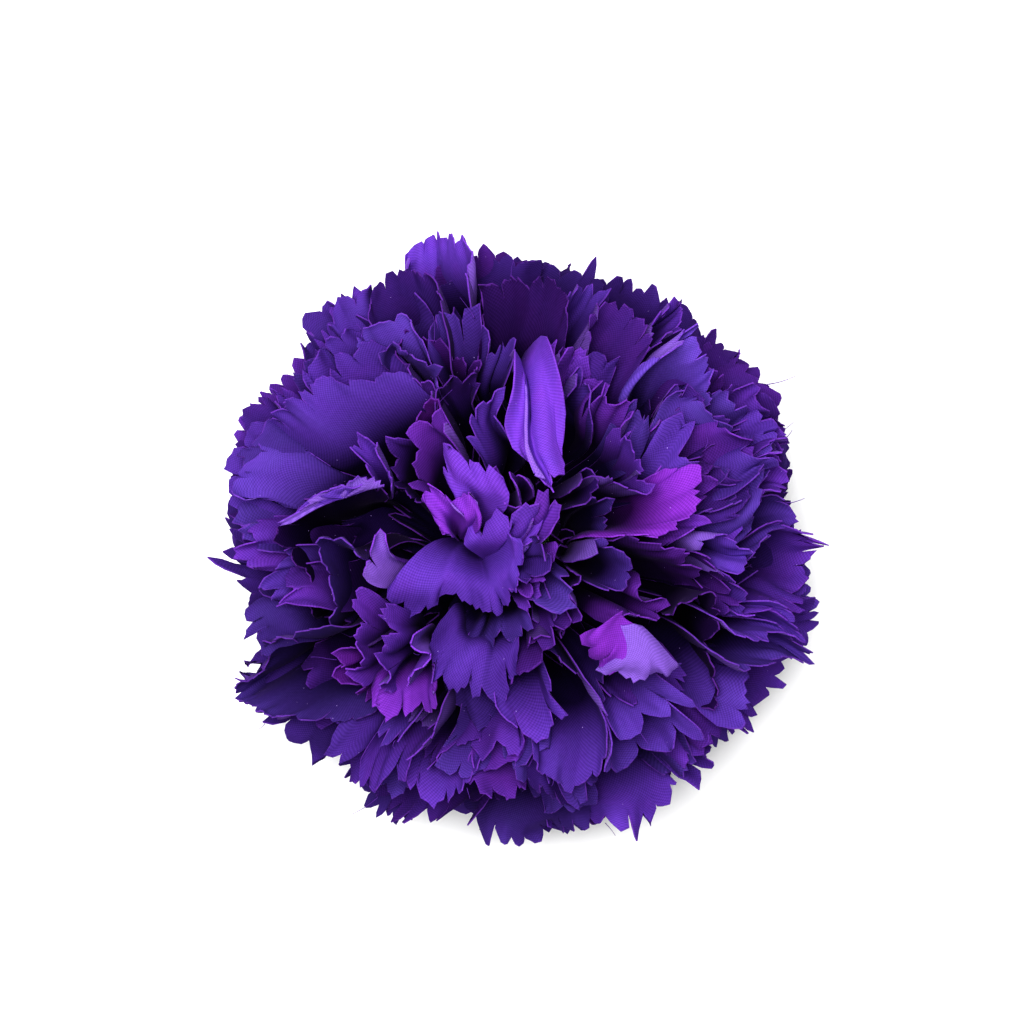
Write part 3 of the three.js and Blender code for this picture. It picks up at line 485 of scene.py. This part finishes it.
    dict(arch=0, tone=-0.1, rim=[[8, 3, 53.5], [10.5, 5, 54], [10.5, 7, 53.5], [9, 9, 53.5], [7, 8, 54],
        [5.5, 6, 53.5]]),
    # dark_face_centre
    dict(arch=0, rim=[[13.5, -2, 51.5], [14.5, 2, 52], [14, 5.5, 53], [12.5, 5.5, 53.5], [10.5, 4, 53],
        [10, 6, 52]]),
    # dark_under_centre
    dict(arch=0, blush=0.3, rim=[[5.5, -14, 50], [8, -10.5, 51.5], [8.5, -6.5, 52], [10.5, -5, 52],
        [9, -3.5, 52]]),
    # small_front
    dict(arch=1, blush=0.2, rim=[[1, -21, 49.5], [2.5, -18.5, 52], [4.5, -16.5, 52.5], [4, -13.5, 53.5],
        [2, -15, 51], [5.5, -12, 51.5], [7, -15, 50.5], [7.5, -12.5, 50]]),
]

# The small frills between them: azimuth of their middle, reach, height and half their width
FRILLS = [
    (134, 46, 24, 5.4), (125, 44, 30, 5.4), (133, 41, 36, 6.3), (130, 37, 41, 5.0), (138, 42, 34, 5.4),
    (150, 43, 32, 4.5), (154, 45, 28, 4.5), (160, 42, 37, 5.4), (164, 41, 38, 5.4), (171, 41, 36, 4.5),
    (175, 40, 38, 5.4), (181, 41, 38, 5.4), (188, 38, 41, 5.4), (191, 36, 44, 4.5), (200, 43, 34, 4.5),
    (227, 40, 38, 4.5), (237, 43, 32, 4.0), (242, 42, 33, 4.0), (257, 35, 42, 3.6), (265, 29, 46, 4.5),
    (264, 33, 43, 4.0), (271, 32, 44, 3.6), (266, 38, 40, 5.4), (276, 36, 41, 4.5), (281, 38, 38, 5.4),
    (288, 38, 40, 4.5), (305, 42, 34, 5.4), (312, 41, 36, 5.4), (318, 40, 36, 4.5), (309, 44, 30, 4.5),
    (326, 40, 38, 5.4), (346, 34, 44, 3.6), (30, 42, 34, 5.4), (35, 40, 38, 4.5), (24, 41, 36, 4.5),
    (21, 37, 42, 4.5), (26, 36, 44, 4.0), (34, 36, 44, 4.0), (15, 40, 37, 4.5), (14, 35, 44, 4.0),
    (9, 37, 42, 4.5), (43, 41, 36, 4.5), (48, 41, 36, 4.0), (46, 28, 48, 3.6), (66, 30, 46, 3.6),
    (74, 29, 48, 4.0), (30, 30, 48, 4.0), (17, 29, 48, 4.0), (317, 11, 54, 3.2), (294, 15, 53, 3.2),
]


def draw(i, k):
    """A repeatable draw from 0 to 1 for petal number i and trait number k."""
    x = math.sin(i * PETAL_STEP + k * TRAIT_STEP) * DRAW_SCALE
    return x - math.floor(x)


def sway(i, k):
    """The same draw spread from -1 to 1."""
    return 2 * draw(i, k) - 1


def smooth(x):
    """Rises from 0 to 1 with soft ends."""
    x = np.clip(x, 0, 1)
    return x * x * (3 - 2 * x)


# ------------ the petals' descriptions
def round_rim(azimuth, reach, height, fan, tilt, skew):
    """A plain rim, as points from its right-hand corner to its left-hand one, seen from the axis.
    Its left-hand side is `tilt` higher and `skew` further out than its middle."""
    rim = []
    for across in np.linspace(-1, 1, RIM_POINTS):
        angle = math.radians(azimuth + fan * across)
        radius = reach * (1 - RIM_ROUNDING * across**2) + skew * across
        rim.append([radius * math.cos(angle), radius * math.sin(angle), height + tilt * across])
    return rim


def ring_petals():
    """The petals that fill the head, from the lowest ring up, which lies level."""
    petals = []
    for order, ring in enumerate(RINGS):
        for n in range(ring["count"]):
            i = len(petals) + 1
            place = n + 0.5 * (order % 2) + RING_SWAY["azimuth"] * sway(i, 1)
            rim = round_rim(
                360 * place / ring["count"],
                ring["reach"] * (1 + RING_SWAY["reach"] * sway(i, 2)),
                ring["height"] + RING_SWAY["height"] * sway(i, 3) * min(order, 1),
                ring["fan"],
                RING_SWAY["tilt"] * sway(i, 7) * min(order, 1),
                ring["skew"] * sway(i, 10),
            )
            petal = {**PLAIN, **ring, "rim": rim, "seed": i}
            for trait, k in (("ruffle", 5), ("lobe", 8), ("cut", 9)):
                petal[trait] *= 1 + RING_SWAY[trait] * sway(i, k)
            petals.append(petal)
    return petals


def placed_petals():
    """The petals that have a place of their own in the photograph."""
    return [{**PLAIN, **FINE_RIM, **petal, "seed": FIRST_PLACED + i} for i, petal in enumerate(PLACED)]


def frill_petals():
    """The small ruffled petals between the broad ones."""
    petals = []
    for n, (azimuth, reach, height, half) in enumerate(FRILLS):
        i = FIRST_FRILL + n
        tilt = FRILL_SWAY["tilt"] * half * sway(i, 7)
        skew = FRILL_SWAY["skew"] * half * sway(i, 10)
        petals.append({
            **PLAIN, **FINE_RIM, **FRILL,
            "rim": round_rim(azimuth, reach, height, math.degrees(half / reach), tilt, skew),
            "arch": FRILL["arch"] + FRILL_SWAY["arch"] * sway(i, 6),
            "ruffle": FRILL["ruffle"] + FRILL_SWAY["ruffle"] * sway(i, 5),
            "waves": half * 2 / FRILL_WAVE,
            "seed": i,
        })
    return petals


# ------------ one petal's surface
class Line:
    """A smooth curve through a few points, by shares of its length."""

    STEPS = 40  # from one point to the next

    def __init__(self, points):
        points = np.array(points, dtype=float)
        ends = np.vstack([2 * points[0] - points[1], points, 2 * points[-1] - points[-2]])
        fine = np.linspace(0, len(points) - 1, self.STEPS * (len(points) - 1) + 1)
        i = np.minimum(fine.astype(int), len(points) - 2)
        t = (fine - i)[:, None]
        a, b, c, d = ends[i], ends[i + 1], ends[i + 2], ends[i + 3]
        self.points = b + 0.5 * t * (c - a + t * (2 * a - 5 * b + 4 * c - d + t * (3 * b - a - 3 * c + d)))
        steps = np.linalg.norm(np.diff(self.points, axis=0), axis=1)
        self.places = np.concatenate([[0], np.cumsum(steps)])
        self.length = self.places[-1]

    def at(self, share):
        """The points at these shares of its length, straight on past its end."""
        place = np.asarray(share) * self.length
        inside = np.stack([np.interp(place, self.places, self.points[:, k]) for k in range(3)], axis=-1)
        last = (self.points[-1] - self.points[-2]) / (self.places[-1] - self.places[-2])
        return inside + np.maximum(place - self.length, 0)[..., None] * last


def outwards(vector):
    """The length of a vector as seen from above."""
    return max(np.hypot(*vector[:2]), TINY)


def root_of(petal, middle):
    """Where the petal leaves the pin: petals that reach further out start lower."""
    if petal["root"]:
        return np.array(petal["root"], dtype=float)
    reach = outwards(middle)
    height = LOWEST_ROOT + ROOT_SPREAD * (1 - reach / WIDEST_REACH)
    return np.array([*(middle[:2] * ROOT_RADIUS / reach), height])


def above_of(rib):
    """The direction square to the petal's chord, up and in."""
    chord = rib.points[-1] - rib.points[0]
    run = outwards(chord)
    above = np.array([*(-chord[2] * chord[:2] / run), run])
    return above / np.linalg.norm(above)


def midrib(petal, middle):
    """The petal's middle line, from its root to the middle of its rim."""
    root = root_of(petal, middle)
    if petal["via"]:
        return Line([root, *petal["via"], middle])
    above = above_of(Line([root, middle]))
    return Line([root, root + LIP_START * (middle - root) + petal["arch"] * above, middle])


def petal_surface(petal, across, share):
    """Points of the petal's middle surface, before its fine waves."""
    rim = Line(petal["rim"])
    middle = rim.at(0.5)
    rib = midrib(petal, middle)
    flat = rib.at(share) + share[..., None] * (rim.at((across + 1) / 2) - middle)
    if not petal["ruffle"]:
        return flat
    phase = math.tau * draw(petal["seed"], 4)
    wave = np.sin(math.pi * petal["waves"] * across * (1 + WAVE_DRIFT * across) + phase)
    lift = petal["ruffle"] * wave * smooth(1 - (1 - share) * rib.length / RUFFLED)
    inward = -middle / outwards(middle) * [1, 1, 0]
    return flat + lift[..., None] * above_of(rib) + RUFFLE_PULL * np.abs(lift)[..., None] * inward


def grid_normals(points):
    """Unit normals of a grid of points, on the side that faces up and in."""
    normals = np.cross(np.gradient(points, axis=0), np.gradient(points, axis=1))
    return normals / np.maximum(np.linalg.norm(normals, axis=-1, keepdims=True), TINY)


def lobe_columns(petal, lobe, width):
    """The columns of one lobe, from -1 to 1 across it, and how far each stands out of it in nicks."""
    seed = petal["seed"]
    nicks = max(2, round(width / NICK_WIDTH))
    corners = np.linspace(-1, 1, 2 * nicks + 1)
    shifts = [sway(seed, 180 + 17 * lobe + n) for n in range(2 * nicks - 1)]
    corners[1:-1] += NICK_SWAY * np.array(shifts) / nicks
    depths = [petal["nick"] * (k % 2) * draw(seed, 300 + 19 * lobe + k) for k in range(len(corners))]
    columns = np.unique(np.concatenate([corners, NARROW_SLIT]))
    return columns, np.interp(columns, corners, depths)


def rim_line(petal, wide, length):
    """Columns across the petal, lined up with its cut rim: their place, how far out they reach,
    which way their lobe bends and how far they are from its middle."""
    seed = petal["seed"]
    lobes = max(2, round(wide / petal["lobe"]))
    widths = np.array([1 + LOBE_SWAY * sway(seed, 30 + t) for t in range(lobes)])
    ends = np.concatenate([[0], np.cumsum(widths)]) / widths.sum() * 2 - 1
    slits = [petal["slit"] * max(0, draw(seed, 90 + t) - UNSLIT) for t in range(lobes + 1)]
    columns, reach, bend, middle = [], [], [], []
    for t in range(lobes):
        half = (ends[t + 1] - ends[t]) / 2
        tip = petal["cut"] * (SHALLOWEST_LOBE + LOBE_SPREAD * draw(seed, 60 + t))
        peak = PEAK_SWAY * sway(seed, 150 + t)
        for x, nick in list(zip(*lobe_columns(petal, t, half * wide)))[1 if t else 0 :]:
            slope = (x - peak) / (1 - peak) if x > peak else (peak - x) / (1 + peak)
            height = tip * (1 - slope ** petal["point"])
            between = slits[t] if x < 0 else slits[t + 1]
            deep = petal["cut"] * between * max(0, (abs(x) - NARROW_SLIT[-1]) / (1 - NARROW_SLIT[-1]))
            columns.append(ends[t] + (x + 1) * half)
            reach.append(height + nick - petal["cut"] - deep)
            bend.append(sway(seed, 120 + t) * (1 - abs(x) ** CORNER_POWER))
            middle.append(x)
    columns = np.array(columns)
    corner = CORNER_DROP * length * np.abs(columns) ** CORNER_POWER
    return columns, length + np.array(reach) - corner, np.array(bend), np.array(middle)


def pressed(points):
    """The whole head is a little crushed: neighbouring petals give way the same way."""
    shift = np.stack([
        sum(height * np.sin((points / lengths).sum(axis=-1) + phase) for height, lengths, phase in waves)
        for waves in CRUSH_WAVES
    ], axis=-1)
    return points + smooth((points[..., 2:] - CRUSH_FOOT) / CRUSH_RISE) * shift


def depth_in_head(points):
    """How far inside the head's rounded outside each point lies; the cloth's colour darkens with it as
    painted shade.
    """
    out = np.hypot(points[..., 0], points[..., 1]) / DOME_RADIUS
    up = np.maximum(points[..., 2] - DOME_FOOT, 0) / DOME_RISE
    return (1 - np.hypot(out, up)) * DOME_RISE


def petal_grid(petal):
    """The petal as a grid of points and normals, with each point's flat place in the cloth and
    its depth in the head."""
    seed, cut = petal["seed"], petal["cut"]
    rim = Line(petal["rim"])
    length = midrib(petal, rim.at(0.5)).length
    columns, outline, bend, middle = rim_line(petal, rim.length, length)
    free = np.minimum(length - FREE_TEETH * cut - FREE_MARGIN, outline - LEAST_TOOTH)
    rows = [SUNK + (free - SUNK) * v for v in np.linspace(0, 1, FACE_ROWS, endpoint=False)]
    rows += [free + (outline - 2 * CUT_EDGE - free) * v for v in np.linspace(0, 1, TOOTH_ROWS + 1)]
    rows += [outline - CUT_EDGE, outline]
    share = np.array(rows) / length
    across = np.broadcast_to(columns, share.shape)
    points = petal_surface(petal, across, share)

    along_rim = (across + 1) / 2 * rim.length
    rising = smooth(1 - (length * (1 - share) - cut) / CRIMPED)
    lift = SLOW_WAVE * share * np.sin(along_rim * SLOW_RATE + SLOW_TWIST * share + math.tau * draw(seed, 22))
    for wavelength, height, k in CRIMPS:
        wave = np.sin(math.tau * (along_rim / wavelength + draw(seed, k)))
        lift += height * petal["crimp"] * rising * wave
    tooth = np.clip((share * length - (length - cut)) / cut, 0, MOST_CURL)
    lift += CURL * cut * tooth**CURL_POWER * (bend + CURL_CUPPED * sway(seed, 23) * middle**2)
    points = pressed(points + grid_normals(points) * lift[..., None])
    points[..., 2] = np.maximum(points[..., 2], CLOTH / 2)

    angle = across * rim.length / 2 / length
    flat = np.stack([share * np.sin(angle), share * np.cos(angle)], axis=-1) * length
    return points, grid_normals(points), flat, depth_in_head(points)


# ------------ petals as cloth meshes
def sheet_arrays(points, normals, flat, depth, first):
    """Vertices and quads of one petal with two faces and a cut edge. Each face carries its side:
    0 the upper face, 1 the reverse, 2 the cut edge."""
    rows, columns = points.shape[:2]
    count = rows * columns
    top = points + normals * (CLOTH / 2)
    bottom = points - normals * (CLOTH / 2)
    vertices = np.concatenate([top.reshape(-1, 3), bottom.reshape(-1, 3)])
    index = np.arange(count).reshape(rows, columns)
    a, b = index[:-1, :-1].ravel(), index[:-1, 1:].ravel()
    c, d = index[1:, 1:].ravel(), index[1:, :-1].ravel()
    upper = np.stack([a, b, c, d], axis=1)[:, ::-1]
    lower = np.stack([a, b, c, d], axis=1) + count
    loop = np.concatenate([index[0, :-1], index[:-1, -1], index[-1, :0:-1], index[:0:-1, 0]])
    after = np.roll(loop, -1)
    edge = np.stack([loop, after, after + count, loop + count], axis=1)
    quads = np.concatenate([upper, lower, edge]) + first
    side = np.repeat([0.0, 1.0, 2.0], [len(upper), len(lower), len(edge)])
    cloth = np.concatenate([flat.reshape(-1, 2)] * 2)
    line = np.zeros((rows, columns))
    line[-2:] = 1
    return vertices, quads, side, cloth, np.tile(line.ravel(), 2), np.tile(depth.ravel(), 2)


def flat_area(flat):
    """Area of a grid of points in the plane."""
    a, b, c, d = flat[:-1, :-1], flat[:-1, 1:], flat[1:, 1:], flat[1:, :-1]
    one, other = c - a, d - b
    return 0.5 * np.abs(one[..., 0] * other[..., 1] - one[..., 1] * other[..., 0]).sum()


def cloth_mesh(name, petals):
    """All petals of one piece in one mesh, and the flat area of their cloth."""
    parts = []
    first = 0
    area = 0
    for petal in petals:
        points, normals, flat, depth = petal_grid(petal)
        arrays = list(sheet_arrays(points, normals, flat, depth, first))
        if petal["turned"]:
            arrays[2] = np.where(arrays[2] < 2, 1 - arrays[2], 2)
        first += len(arrays[0])
        area += flat_area(flat)
        parts.append(arrays)
    vertices, quads, side, cloth, line, depth = (np.concatenate(p) for p in zip(*parts))
    sizes = [len(p[0]) for p in parts]
    tone = np.repeat([p["tone"] + TONE_SWAY * sway(p["seed"], 40) for p in petals], sizes)
    blush = np.repeat([p["blush"] + TINT_SWAY * sway(p["seed"], 41) for p in petals], sizes)
    mesh = new_mesh(name, vertices, quads)
    mesh.polygons.foreach_set("use_smooth", side < 2)
    add_values(mesh, "side", "FACE", side)
    for value, each in (("tone", tone), ("blush", blush), ("rim", line), ("depth", depth)):
        add_values(mesh, value, "POINT", each)
    weave = mesh.uv_layers.new(name="Weave")
    weave.data.foreach_set("uv", cloth[quads.ravel()].ravel())
    mesh.update(calc_edges=True)
    return mesh, area


def new_mesh(name, vertices, quads):
    """A mesh in metres from places in millimetres about the pin's axis."""
    mesh = bpy.data.meshes.new(name)
    mesh.vertices.add(len(vertices))
    mesh.vertices.foreach_set("co", ((vertices + AXIS) * MM).ravel())
    mesh.loops.add(quads.size)
    mesh.loops.foreach_set("vertex_index", quads.ravel())
    mesh.polygons.add(len(quads))
    mesh.polygons.foreach_set("loop_start", np.arange(len(quads)) * 4)
    return mesh


def add_values(mesh, name, domain, values):
    """A number for each point or face, which the cloth's material reads."""
    layer = mesh.attributes.new(name, "FLOAT", domain)
    layer.data.foreach_set("value", np.asarray(values, dtype=np.float32))


# ------------ loose threads
def loose_thread(petal, n):
    """The vertices and quads of one thread that has come loose: a four-sided tube that bends."""
    seed = petal["seed"]
    across = np.array(THREAD_ASIDE * sway(seed, 410 + n))
    share = np.array(THREAD_START + THREAD_STRAY * draw(seed, 420 + n))
    start = petal_surface(petal, across, share)
    along = start - petal_surface(petal, across, share - THREAD_AIM)
    along /= np.linalg.norm(along)
    up = THREAD_LIFT * (1 + sway(seed, 450 + n))
    side = np.array([sway(seed, 430 + n), sway(seed, 440 + n), up])
    length = SHORTEST_THREAD + THREAD_SPREAD * draw(seed, 460 + n) ** 2
    t = np.linspace(0, 1, THREAD_STEPS + 1)[:, None]
    way = t * along + THREAD_BEND * t**2 * side + THREAD_TWIST * t**3 * side[[1, 2, 0]]
    middle = pressed(start + length * way)
    width = THREAD_WIDTH / 2 * (1 - THREAD_TAPER * t)
    corners = np.array([[1, 0, 0], [0, 1, 0], [-1, 0, 0], [0, -1, 0]])
    vertices = (middle[:, None] + width[:, None] * corners).reshape(-1, 3)
    ring = 4 * np.arange(THREAD_STEPS)[:, None] + np.arange(4)
    after = 4 * np.arange(THREAD_STEPS)[:, None] + np.roll(np.arange(4), -1)
    walls = np.stack([ring, after, after + 4, ring + 4], axis=-1).reshape(-1, 4)
    last = 4 * THREAD_STEPS
    ends = np.array([[3, 2, 1, 0], [last, last + 1, last + 2, last + 3]])
    return vertices, np.concatenate([walls, ends])


def thread_mesh(petals):
    """All threads that have come loose along the cut rims."""
    threads = [
        loose_thread(petal, n)
        for petal in petals
        for n in range(THREADS_PER_PETAL)
        if draw(petal["seed"], 400 + n) <= THREAD_SHARE
    ]
    size = len(threads[0][0])
    vertices = np.concatenate([thread[0] for thread in threads])
    quads = np.concatenate([thread[1] + size * n for n, thread in enumerate(threads)])
    vertices[:, 2] = np.maximum(vertices[:, 2], 0)
    mesh = new_mesh("loose_threads", vertices, quads)
    add_values(mesh, "side", "FACE", np.full(len(quads), 2.0))
    mesh.uv_layers.new(name="Weave")
    mesh.update(calc_edges=True)
    return mesh


# ------------ materials
class Shading:
    """A new material with a few short ways to add and join its nodes."""

    def __init__(self, name):
        self.material = bpy.data.materials.new(name)
        self.material.use_nodes = True
        self.nodes = self.material.node_tree.nodes
        self.links = self.material.node_tree.links
        self.shader = self.nodes["Principled BSDF"]

    def put(self, socket, item):
        """Sets a socket to a number or colour, or joins it to another node's output."""
        if isinstance(item, (int, float, tuple)):
            socket.default_value = item
        else:
            self.links.new(item, socket)

    def node(self, kind, **inputs):
        node = self.nodes.new(kind)
        for name, item in inputs.items():
            self.put(node.inputs[name.replace("_", " ")], item)
        return node

    def maths(self, operation, a, b=0):
        node = self.nodes.new("ShaderNodeMath")
        node.operation = operation
        self.put(node.inputs[0], a)
        self.put(node.inputs[1], b)
        return node.outputs[0]

    def times(self, a, b):
        return self.maths("MULTIPLY", a, b)

    def scaled(self, item, factor, base):
        """base + factor * item"""
        return self.maths("ADD", self.times(item, factor), base)

    def noise(self, place, scale, detail):
        return self.node("ShaderNodeTexNoise", Vector=place, Scale=scale, Detail=detail).outputs["Fac"]

    def mix(self, share, a, b, blend="MIX"):
        node = self.nodes.new("ShaderNodeMix")
        node.data_type = "RGBA"
        node.blend_type = blend
        for name, item in (("Factor", share), ("A", a), ("B", b)):
            self.put([s for s in node.inputs if s.name == name and s.enabled][0], item)
        return [s for s in node.outputs if s.enabled][0]

    def finish(self, **inputs):
        for name, item in inputs.items():
            self.put(self.shader.inputs[name.replace("_", " ")], item)
        return self.material


def petal_fabric():
    """Plain woven cloth. The meshes say which side a face is on, how bright and red a petal is,
    where its rim is and how deep each point lies. The depth darkens the colour as painted shade, the
    tones given to placed petals paint part of their light and shade, and the cut edges and frayed
    rim places get a pale painted highlight."""
    s = Shading("petal_fabric")

    def value(name):
        node = s.nodes.new("ShaderNodeAttribute")
        node.attribute_name = name
        return node.outputs["Fac"]

    uv = s.nodes.new("ShaderNodeUVMap")
    uv.uv_map = "Weave"
    cloth = uv.outputs[0]
    split = s.node("ShaderNodeSeparateXYZ", Vector=cloth)
    warp, weft = (s.maths("SINE", s.times(split.outputs[k], math.pi / THREAD_PITCH)) for k in range(2))
    weave = s.scaled(s.times(warp, weft), 0.5, 0.5)
    blotch = s.noise(cloth, *BLOTCH_NOISE)
    slub = s.noise(cloth, *SLUB_NOISE)

    side = value("side")  # 0 upper face, 1 reverse, 2 cut edge
    back = s.times(s.maths("GREATER_THAN", side, 0.5), s.maths("LESS_THAN", side, 1.5))
    cut = s.maths("GREATER_THAN", side, 1.5)
    blush = s.maths("ADD", value("blush"), s.scaled(blotch, BLUSH_SWAY, -BLUSH_SWAY / 2))
    colour = s.mix(blush, VIOLET, MAGENTA)
    colour = s.mix(s.times(blush, -1), colour, SLATE)
    colour = s.mix(s.times(back, REVERSE_SHARE), colour, REVERSE)

    # Painted shade: the deeper a point lies inside the head's rounded outside, the darker its colour
    deep = s.node(
        "ShaderNodeMapRange", Value=value("depth"), From_Min=PAINTED_SHADE_START, From_Max=PAINTED_SHADE_FULL,
        To_Min=1, To_Max=PAINTED_SHADE_LEFT,
    )
    # A petal's tone scales its brightness; on placed petals the given tone is painted light and shade
    bright = s.times(s.maths("ADD", value("tone"), 1), deep.outputs[0])
    bright = s.times(bright, s.scaled(weave, WEAVE_SHADE, 1 - WEAVE_SHADE / 2))
    bright = s.times(bright, s.scaled(slub, SLUB_SHADE, 1 - SLUB_SHADE / 2))
    grey = s.node("ShaderNodeCombineXYZ", X=bright, Y=bright, Z=bright)
    colour = s.mix(1.0, colour, grey.outputs[0], "MULTIPLY")

    # Painted highlight: the cut edges and the frayed places along the rim are mixed towards a pale violet
    frayed = s.times(s.maths("GREATER_THAN", slub, FRAYED_SLUB), value("rim"))
    edge = s.maths("MAXIMUM", s.times(frayed, FRAYED_HIGHLIGHT_SHARE), s.times(cut, CUT_HIGHLIGHT_SHARE))
    colour = s.mix(edge, colour, CUT_HIGHLIGHT)
    specks = s.node("ShaderNodeTexVoronoi", Vector=cloth, Scale=LINT_PLACES).outputs["Distance"]
    colour = s.mix(s.times(s.maths("LESS_THAN", specks, LINT_SIZE), LINT_SHARE), colour, LINT)

    bump = s.node("ShaderNodeBump", Strength=WEAVE_BUMP, Distance=WEAVE_HEIGHT * MM, Height=weave)
    return s.finish(Base_Color=colour, Normal=bump.outputs[0], **CLOTH_FINISH)


def speckled(name, dark, light, roughness, grains, metallic):
    """Moulded or drawn stuff: two near colours in soft blotches, a fine grain in its gloss."""
    s = Shading(name)
    place = s.nodes.new("ShaderNodeTexCoord").outputs["Object"]
    colour = s.mix(s.noise(place, *SPECKLE_NOISE), dark, light)
    grain = s.noise(place, grains, GRAIN_DETAIL)
    gloss = s.node(
        "ShaderNodeMapRange", Value=grain, To_Min=roughness - GLOSS_SPREAD, To_Max=roughness + GLOSS_SPREAD
    )
    bump = s.node("ShaderNodeBump", Strength=GRAIN_BUMP, Distance=GRAIN_HEIGHT * MM, Height=grain)
    return s.finish(Base_Color=colour, Roughness=gloss.outputs[0], Metallic=metallic, Normal=bump.outputs[0])


# ------------ the pieces
def axis_of(node):
    """Where a node's upright axis stands, in mm."""
    low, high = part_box(node)
    return np.array([(low[0] + high[0]) / 2 / MM, (low[1] + high[1]) / 2 / MM, 0])


AXIS = axis_of("pin")


def add_piece(mesh, material, node):
    """A new piece that stands for a node of the solid part."""
    piece = bpy.data.objects.new(mesh.name, mesh)
    bpy.context.scene.collection.objects.link(piece)
    mesh.materials.append(material)
    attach(piece, "root")
    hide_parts(node)
    return piece


def make_bloom():
    """The petals, in pieces of no more than PIECE_PETALS."""
    fabric = petal_fabric()
    layers = {"ring": ring_petals(), "placed": placed_petals(), "frills": frill_petals()}
    threads = add_piece(thread_mesh(layers["ring"] + layers["placed"]), fabric, "bloom")
    for layer, petals in layers.items():
        count = math.ceil(len(petals) / PIECE_PETALS)
        for n in range(count):
            some = petals[n * len(petals) // count : (n + 1) * len(petals) // count]
            mesh, area = cloth_mesh(f"{layer}_petals_{n + 1}", some)
            piece = add_piece(mesh, fabric, "bloom")
            rims = [Line(petal["rim"]) for petal in some]
            long = np.mean([midrib(petal, rim.at(0.5)).length for petal, rim in zip(some, rims)])


def finish_solids():
    """The nodes that stay as they are get their finish."""
    for node, finish in FINISHES.items():
        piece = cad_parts[node]
        piece.data.materials.clear()
        piece.data.materials.append(speckled(*finish))


# ------------ the studio
def make_floor():
    """A plain white floor."""
    bpy.ops.mesh.primitive_plane_add(size=FLOOR_SIZE)
    floor = bpy.context.object
    floor.name = "floor"
    floor.data.materials.append(Shading("floor_white").finish(**FLOOR_FINISH))


def make_camera():
    """Straight above the head, as far off as the photograph's outline asks."""
    data = bpy.data.cameras.new("camera")
    data.sensor_width = SENSOR_MM
    data.lens = SENSOR_MM * CAMERA_DISTANCE / (PHOTO_WIDTH * MM_PER_PX * MM)
    camera = bpy.data.objects.new("camera", data)
    right = (PHOTO_WIDTH / 2 - HEAD_CENTRE_PX[0]) * MM_PER_PX
    up = (HEAD_CENTRE_PX[1] - PHOTO_WIDTH / 2) * MM_PER_PX
    x, y = AXIS[0] + right, AXIS[1] + up
    camera.location = (x * MM, y * MM, WIDEST_HEIGHT * MM + CAMERA_DISTANCE)
    bpy.context.scene.collection.objects.link(camera)
    bpy.context.scene.camera = camera


def make_lights():
    """One large soft light from the upper left, and a dim even sky."""
    data = bpy.data.lights.new("key", "AREA")
    data.size = KEY_SIZE
    data.energy = KEY_POWER
    light = bpy.data.objects.new("key", data)
    light.location = KEY_PLACE
    x, y, z = KEY_PLACE
    light.rotation_euler = (math.atan2(math.hypot(x, y), z), 0, math.atan2(-x, y))
    bpy.context.scene.collection.objects.link(light)
    world = bpy.data.worlds.new("studio")
    world.use_nodes = True
    sky = world.node_tree.nodes["Background"]
    sky.inputs["Color"].default_value = (1, 1, 1, 1)
    sky.inputs["Strength"].default_value = SKY_STRENGTH
    bpy.context.scene.world = world
    bpy.context.scene.view_settings.view_transform = "Standard"
    bpy.context.scene.view_settings.look = "High Contrast"


make_camera()
make_lights()
make_floor()
make_bloom()
finish_solids()
